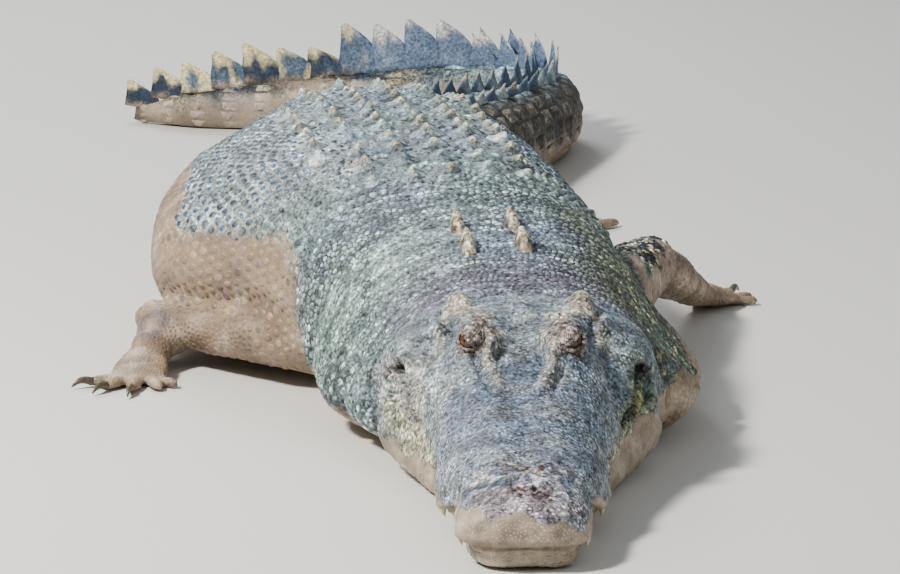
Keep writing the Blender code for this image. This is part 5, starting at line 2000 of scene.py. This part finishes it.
# %% Crest of the tail
# Share left of each single blade, counted from the join, and its tone: navy at 1, cream at -1.
WORN_BLADES = (0.92, 0.88, 0.98, 0.95, 1.0, 0.58, 0.66, 0.88, 0.8, 0.76, 0.9, 0.9)
BLADE_TONES = (0.2, 0.4, 0.1, -0.3, 0.0, 0.3, -0.55, 1.0, -0.2, -0.8, 0.8, 0.3)
BLADE_ROOT = 0.006          # how deep a blade's root is in the back


def rise_of_row(distance):
    """0 where the crest starts, 1 where its two rows have become one."""
    return (distance - RUMP_END) / (CREST_JOIN - RUMP_END)


def crest_height(distance):
    """Height of the blades: tallest where the two rows have become one."""
    rise = rise_of_row(distance)
    if rise < 1:
        return 0.018 + 0.062 * rise ** 1.2
    fall = (distance - CREST_JOIN) / (TOTAL_LENGTH - CREST_JOIN)
    return (0.114 - 0.064 * fall ** 3) * WORN_BLADES[single_blade(distance)]


def single_blade(distance):
    """Number of a blade of the single row, counted from the join."""
    return min(len(WORN_BLADES) - 1, max(0, round((distance - CREST_JOIN) / WHORL)))


def finer_cube(cuts):
    """A cube from -1 to 1, cut into strips along each axis."""
    bm = bmesh.new()
    bmesh.ops.create_cube(bm, size=2.0)
    for axis, count in enumerate(cuts):
        edges = [e for e in bm.edges if abs(e.verts[0].co[axis] - e.verts[1].co[axis]) > 1.5]
        bmesh.ops.subdivide_edges(bm, edges=edges, cuts=count, use_grid_fill=True)
    return bm


def add_blade(bm, distance, side, height, thick, random):
    """One blade, standing on the back at a distance and a side.  Gives each point's share of its height."""
    back = size_at(BODY, 3, distance) - COAT - BLADE_ROOT
    lean, wave = random.uniform(-0.05, 0.06), random.uniform(0, 6.28)
    notch, notch_depth = random.uniform(0.3, 0.9), random.uniform(0.0, 0.04)
    part = finer_cube((8, 1, 6))
    shares = np.array([vert.co for vert in part.verts])
    a, w, h = (shares[:, 0] + 1) / 2, shares[:, 1], (shares[:, 2] + 1) / 2
    reach = 0.7 if side == 0 else 0.58
    front = -reach + (reach + 0.34 + lean) * h ** (2.5 if side == 0 else 1.6)
    rear = reach + (0.4 - reach) * (side != 0) * h - (0.1 - lean) * h - 0.03 * np.sin(np.pi * h)
    rear = rear - notch_depth * bell(h - notch, 0.1)
    along = (front + (rear - front) * a) * WHORL
    top = 1 - 0.05 * (2 * a - 1) ** 2 * h
    taper = (1 - 0.86 * h ** 0.75) * (1 - 0.75 * abs(2 * a - 1) ** 3)
    bulge = 1 + 0.16 * np.sin(4 * np.pi * h + wave) * (1 - h)
    across = side + w * thick * taper * bulge + np.sign(side) * 0.1 * height * h
    across = across + 0.002 * np.sin(3 * a + wave) * h
    points = on_spine(distance + along, across, back + (height + BLADE_ROOT) * h * top)
    for vert, point in zip(part.verts, points):
        vert.co = point
    move_into(bm, part)
    return h


def row_places(distance):
    """Side and half thickness of each blade of one whorl: a pair, or one past the join."""
    apart = max(0.0, 1 - rise_of_row(distance))
    half = (size_at(BODY, 1, distance) + size_at(BODY, 2, distance)) / 2
    if apart == 0:
        return ((0.0, max(0.0045, half * 0.22)),)
    offset = 0.009 + half * 0.45 * apart + 0.004 * min(1.0, apart * 4)
    thick = 0.0052 + 0.0048 * min(1.0, apart * 4)
    return ((-offset, thick), (offset, thick))


def build_crest():
    """All the blades as one piece, with each point's tone and share of its blade's height."""
    bm = bmesh.new()
    random = seeded(51)
    tones, rises = [], []
    for number in range(WHORLS):
        distance = RUMP_END + (number + 0.5) * WHORL
        height = crest_height(distance)
        for side, thick in row_places(distance):
            size = height * random.uniform(0.92, 1.05)
            if side > 0:
                size *= 0.55 + 0.45 * float(step_up(distance, 3.1, 3.6))
            rise = add_blade(bm, distance, side, size, thick, random)
            tone = random.uniform(-1, 1)
            if rise_of_row(distance) >= 1:
                tone = BLADE_TONES[single_blade(distance)] + 0.15 * tone
            tones += [tone] * len(rise)
            rises += list(rise)
    bmesh.ops.recalc_face_normals(bm, faces=bm.faces)
    return smooth_object(bm, "tail_crest"), np.array(tones), np.array(rises)


tail_crest, crest_tones, crest_rises = build_crest()
print("crest", len(tail_crest.data.polygons), "faces")


# %% Keeled plates of the neck
PLATE_ASIDE = 0.048
PLATE_PLACES = [(distance, side) for distance in (0.945, 1.025) for side in (-PLATE_ASIDE, PLATE_ASIDE)]
PLATE_WALL = 0.006


def add_plate(bm, distance, side, random):
    """An oval plate with a blunt keel, tallest behind its middle."""
    made = bmesh.ops.create_grid(bm, x_segments=26, y_segments=20, size=1.0)["verts"]
    a, b = np.array([vert.co[:2] for vert in made]).T
    u, v = a * np.sqrt(1 - b ** 2 / 2), b * np.sqrt(1 - a ** 2 / 2)
    radius = np.hypot(u, v)
    keel = np.clip(1 - (abs(v) / 0.8) ** 2.4, 0, 1)
    profile = 0.3 + 0.7 * np.clip(1 - ((u - 0.05) / 1.05) ** 6, 0, 1)
    phase = random.uniform(0, 6.28)
    knobs = 1 + 0.16 * np.sin(9 * u + phase) * keel + 0.07 * np.sin(21 * u + 13 * v + phase)
    lift = (0.0215 * keel * profile * knobs + 0.006) * (1 - radius ** 4) - 0.006 * radius ** 4
    length, width = 0.033 * random.uniform(0.92, 1.06), 0.017 * random.uniform(0.92, 1.05)
    flat = on_spine(distance + u * length, side + v * width * (1 - 0.18 * u), np.full(len(u), 0.3))
    ground, _ = snapped(flat)
    placed = np.stack([flat[:, 0], flat[:, 1], ground[:, 2]], 1) + (0, 0, 1) * lift[:, None]
    for vert, point in zip(made, placed):
        vert.co = point


def build_plates():
    """The four plates, each with a wall down into the hide and a closed underside."""
    bm = bmesh.new()
    random = seeded(52)
    for distance, side in PLATE_PLACES:
        add_plate(bm, distance, side, random)
    rims = [edge for edge in bm.edges if edge.is_boundary]
    grown = bmesh.ops.extrude_edge_only(bm, edges=rims)["geom"]
    for item in grown:
        if isinstance(item, bmesh.types.BMVert):
            item.co.z -= PLATE_WALL
    rims = [edge for edge in bm.edges if edge.is_boundary]
    bmesh.ops.holes_fill(bm, edges=rims, sides=0)
    bmesh.ops.recalc_face_normals(bm, faces=bm.faces)
    return smooth_object(bm, "neck_plates")


neck_plates = build_plates()
print("neck plates", len(neck_plates.data.polygons), "faces")


# %% Claws
# Share of the claw's length, and share of its root's radius.
CLAW_SHAPE = ((0.0, 1.0), (0.2, 0.95), (0.45, 0.78), (0.7, 0.52), (0.88, 0.3), (0.97, 0.14),
              (1.0, 0.05))
CLAW_ROOT_DEPTH = 0.01


def claw_sections(end, ahead, size):
    """Rings of points from inside the toe's end to the claw's tip."""
    across = ahead.cross(Vector((0, 0, 1)))
    angles = ring_angles(16, shift=0)
    root = end - ahead * CLAW_ROOT_DEPTH
    sections = [[root + across * math.cos(a) * size * 0.7 + Vector((0, 0, math.sin(a) * size * 0.9))
                 for a in angles]]
    for share in np.linspace(0, 1, 12):
        width = size_at(CLAW_SHAPE, 1, share) * size
        tilt = math.radians(6 + 38 * share)
        upward = Vector((0, 0, math.cos(tilt))) + ahead * math.sin(tilt)
        centre = end + ahead * (0.001 + CLAW_LENGTH * share)
        arch = end.z + 0.002 + 0.006 * math.sin(2.4 * share) - 0.012 * share ** 2
        centre.z = max(0.0012 + width, arch)
        sections.append([centre + across * math.cos(a) * width * 0.78 + upward * math.sin(a) * width
                         for a in angles])
    return np.array(sections)


def build_claws():
    """Curved horn claws on the inner three toes of each foot."""
    bm = bmesh.new()
    for leg in LEGS:
        for _, end, ahead, radius, clawed in toes_of(leg):
            if clawed:
                add_tube(bm, claw_sections(end, ahead, radius * 0.6))
    return smooth_object(bm, "claws")


claws = build_claws()
print("claws", len(claws.data.polygons), "faces")


# %% Teeth that show along the lips
# Distance along the jaw, length, root radius.  Upper teeth hang outside the lower jaw.
UPPER_TEETH = (
    (0.064, 0.01, 0.0045), (0.098, 0.009, 0.0045), (0.238, 0.012, 0.0055), (0.272, 0.015, 0.0062),
    (0.305, 0.012, 0.0055), (0.345, 0.01, 0.0048), (0.385, 0.009, 0.0045), (0.425, 0.008, 0.0042),
)
LOWER_TEETH = ((0.142, 0.018, 0.0062),)


def add_tooth(bm, place, root, tip, radius):
    """One curved cone.  root and tip are each a side and a height."""
    outwards = math.copysign(1, root[0])
    lean = on_spine(place, root[0] + outwards, 0.0) - on_spine(place, root[0], 0.0)
    root, tip = on_spine(place, *root), on_spine(place - 0.002, *tip)
    angles = ring_angles(12, shift=0)
    sections = []
    for share in np.linspace(0, 1, 9):
        width = radius * (1 - share ** 1.7) + 0.0003
        bow = lean * math.sin(math.pi * share) * 0.12 * np.linalg.norm(tip - root)
        ring = np.stack([np.cos(angles) * width, np.sin(angles) * width, 0 * angles], 1)
        sections.append(root + (tip - root) * share + bow + ring)
    add_tube(bm, np.array(sections))


def build_teeth():
    """All the teeth that show, as one piece."""
    bm = bmesh.new()
    random = seeded(53)
    for turn in (-1, 1):
        for place, length, radius in UPPER_TEETH:
            lips = size_at(HEAD, 3, place)
            width = size_at(HEAD, 1, place) - COAT - radius * 0.75
            root = turn * (width - 0.003), lips + 0.01
            tip = turn * (width - 0.004), lips - length * random.uniform(0.75, 1.0)
            add_tooth(bm, place, root, tip, radius)
        for place, length, radius in LOWER_TEETH:
            lips, width = size_at(HEAD, 3, place), size_at(HEAD, 4, place) + 0.002
            add_tooth(bm, place, (turn * width, lips - 0.012), (turn * width, lips + length), radius)
    return smooth_object(bm, "teeth")


teeth = build_teeth()
print("teeth", len(teeth.data.polygons), "faces")


# %% Horn, keratin and enamel
def worn_keel_and_foot_shade(colour, mud, points, distance, side):
    """Neck plates: tan and worn on the keel, with painted shade round their foot."""
    off_keel = abs(abs(side) - PLATE_ASIDE) + 0.003 * ripple(points, 0.01, 57)
    return blend(
        colour,
        (np.full(len(points), 0.85), "tan"),
        (0.7 * step_up(ripple(points, 0.009, 54), 0.2, 0.7), "scab"),
        (0.35 * step_up(ripple(points, 0.014, 55), 0.2, 0.8), "belly"),
        # painted shade round the plate's foot
        (0.8 * step_up(off_keel, 0.0075, 0.0125), "painted_shade_dark")), mud


def fin_colours(colour, mud, points, distance, side):
    """Blades: blue-grey in the double row, then navy with cream tips and edges."""
    end, late = step_up(distance, 4.02, 4.16), step_up(distance, 3.3, 3.7)
    streaks = ripple(points * (1, 1, 0.35), 0.02, 56)
    tips = step_up(crest_rises + 0.16 * streaks + 0.3 * abs(crest_tones), 0.78, 0.98)
    root = 1 - step_up(crest_rises + 0.06 * streaks, 0.04, 0.22)
    colour = blend(
        np.tile(COLOURS["slate"], (len(points), 1)),
        (0.75 * step_up(crest_tones + 0.5 * streaks, -0.6, 0.7), "deep_blue"),
        (0.55 * step_up(-crest_tones + 0.6 * streaks, 0.2, 1.0), "pale_grey"),
        (0.6 * late * (1 - end), "steel"),
        (0.9 * end * step_up(crest_tones + 0.5 * streaks, -0.9, 0.2), "navy"),
        (0.75 * tips * late * (1 - end), "white"),
        ((0.3 * (1 - late) + 0.9 * end) * tips, "cream"),
        (0.85 * end * step_up(-crest_tones + 0.5 * streaks, 0.45, 0.8), "cream"),
        (0.6 * root * end, "mud"),
        (mud * root, "mud"))
    return colour, mud * root


paint(tail_crest, tone=crest_tones, rim=0.2, tint=fin_colours)
paint(neck_plates, rim=0.2, tint=worn_keel_and_foot_shade)
tail_crest.data.materials.append(hide_material("keratin blades", 0.3, 0.42, 0.4))
neck_plates.data.materials.append(scale_hide)


def stained(name, grain, detail, dark, pale, roughness, ior):
    """Horn or enamel: two colours mixed in soft stains, under a smooth glossy surface."""
    material, shader, add = new_material(name)
    place = add("ShaderNodeTexCoord").outputs["Object"]
    stain = add("ShaderNodeTexNoise", Vector=place, Scale=grain, Detail=detail).outputs["Fac"]
    colour = add("ShaderNodeMix", {"data_type": "RGBA"}, i0=stain,
                 i6=(*linear(dark), 1), i7=(*linear(pale), 1)).outputs[2]
    wire(shader, Base_Color=colour, Roughness=roughness, IOR=ior)
    return material


# Dark keratin, paler where mud has dried on it, and smooth enough for a soft highlight.
claws.data.materials.append(stained("claw horn", 180.0, 4.0, "#2e2c2c", "#8b7d6a", 0.32, 1.55))
# Ivory enamel, stained tan, glossy and wet.
teeth.data.materials.append(stained("tooth enamel", 90.0, 3.0, "#ddd6bd", "#b3a37c", 0.22, 1.62))
print("horn, claws and teeth have materials")


# %% Tie the pieces to the model
horn_pieces = (tail_crest, neck_plates, claws, teeth)
for piece in (hide, eyeballs, eyelids, *coat, *horn_pieces):
    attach(piece, "root")
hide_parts("eye_left", "eye_right")
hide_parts(*[name for name in frame["nodes"] if name.startswith("neck_plate")])
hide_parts(*[name for name in frame["nodes"] if "claw" in name])
FLESH = [name for name in frame["nodes"] if "claw" not in name and not name.startswith(("eye", "neck_plate"))]
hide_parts(*FLESH)
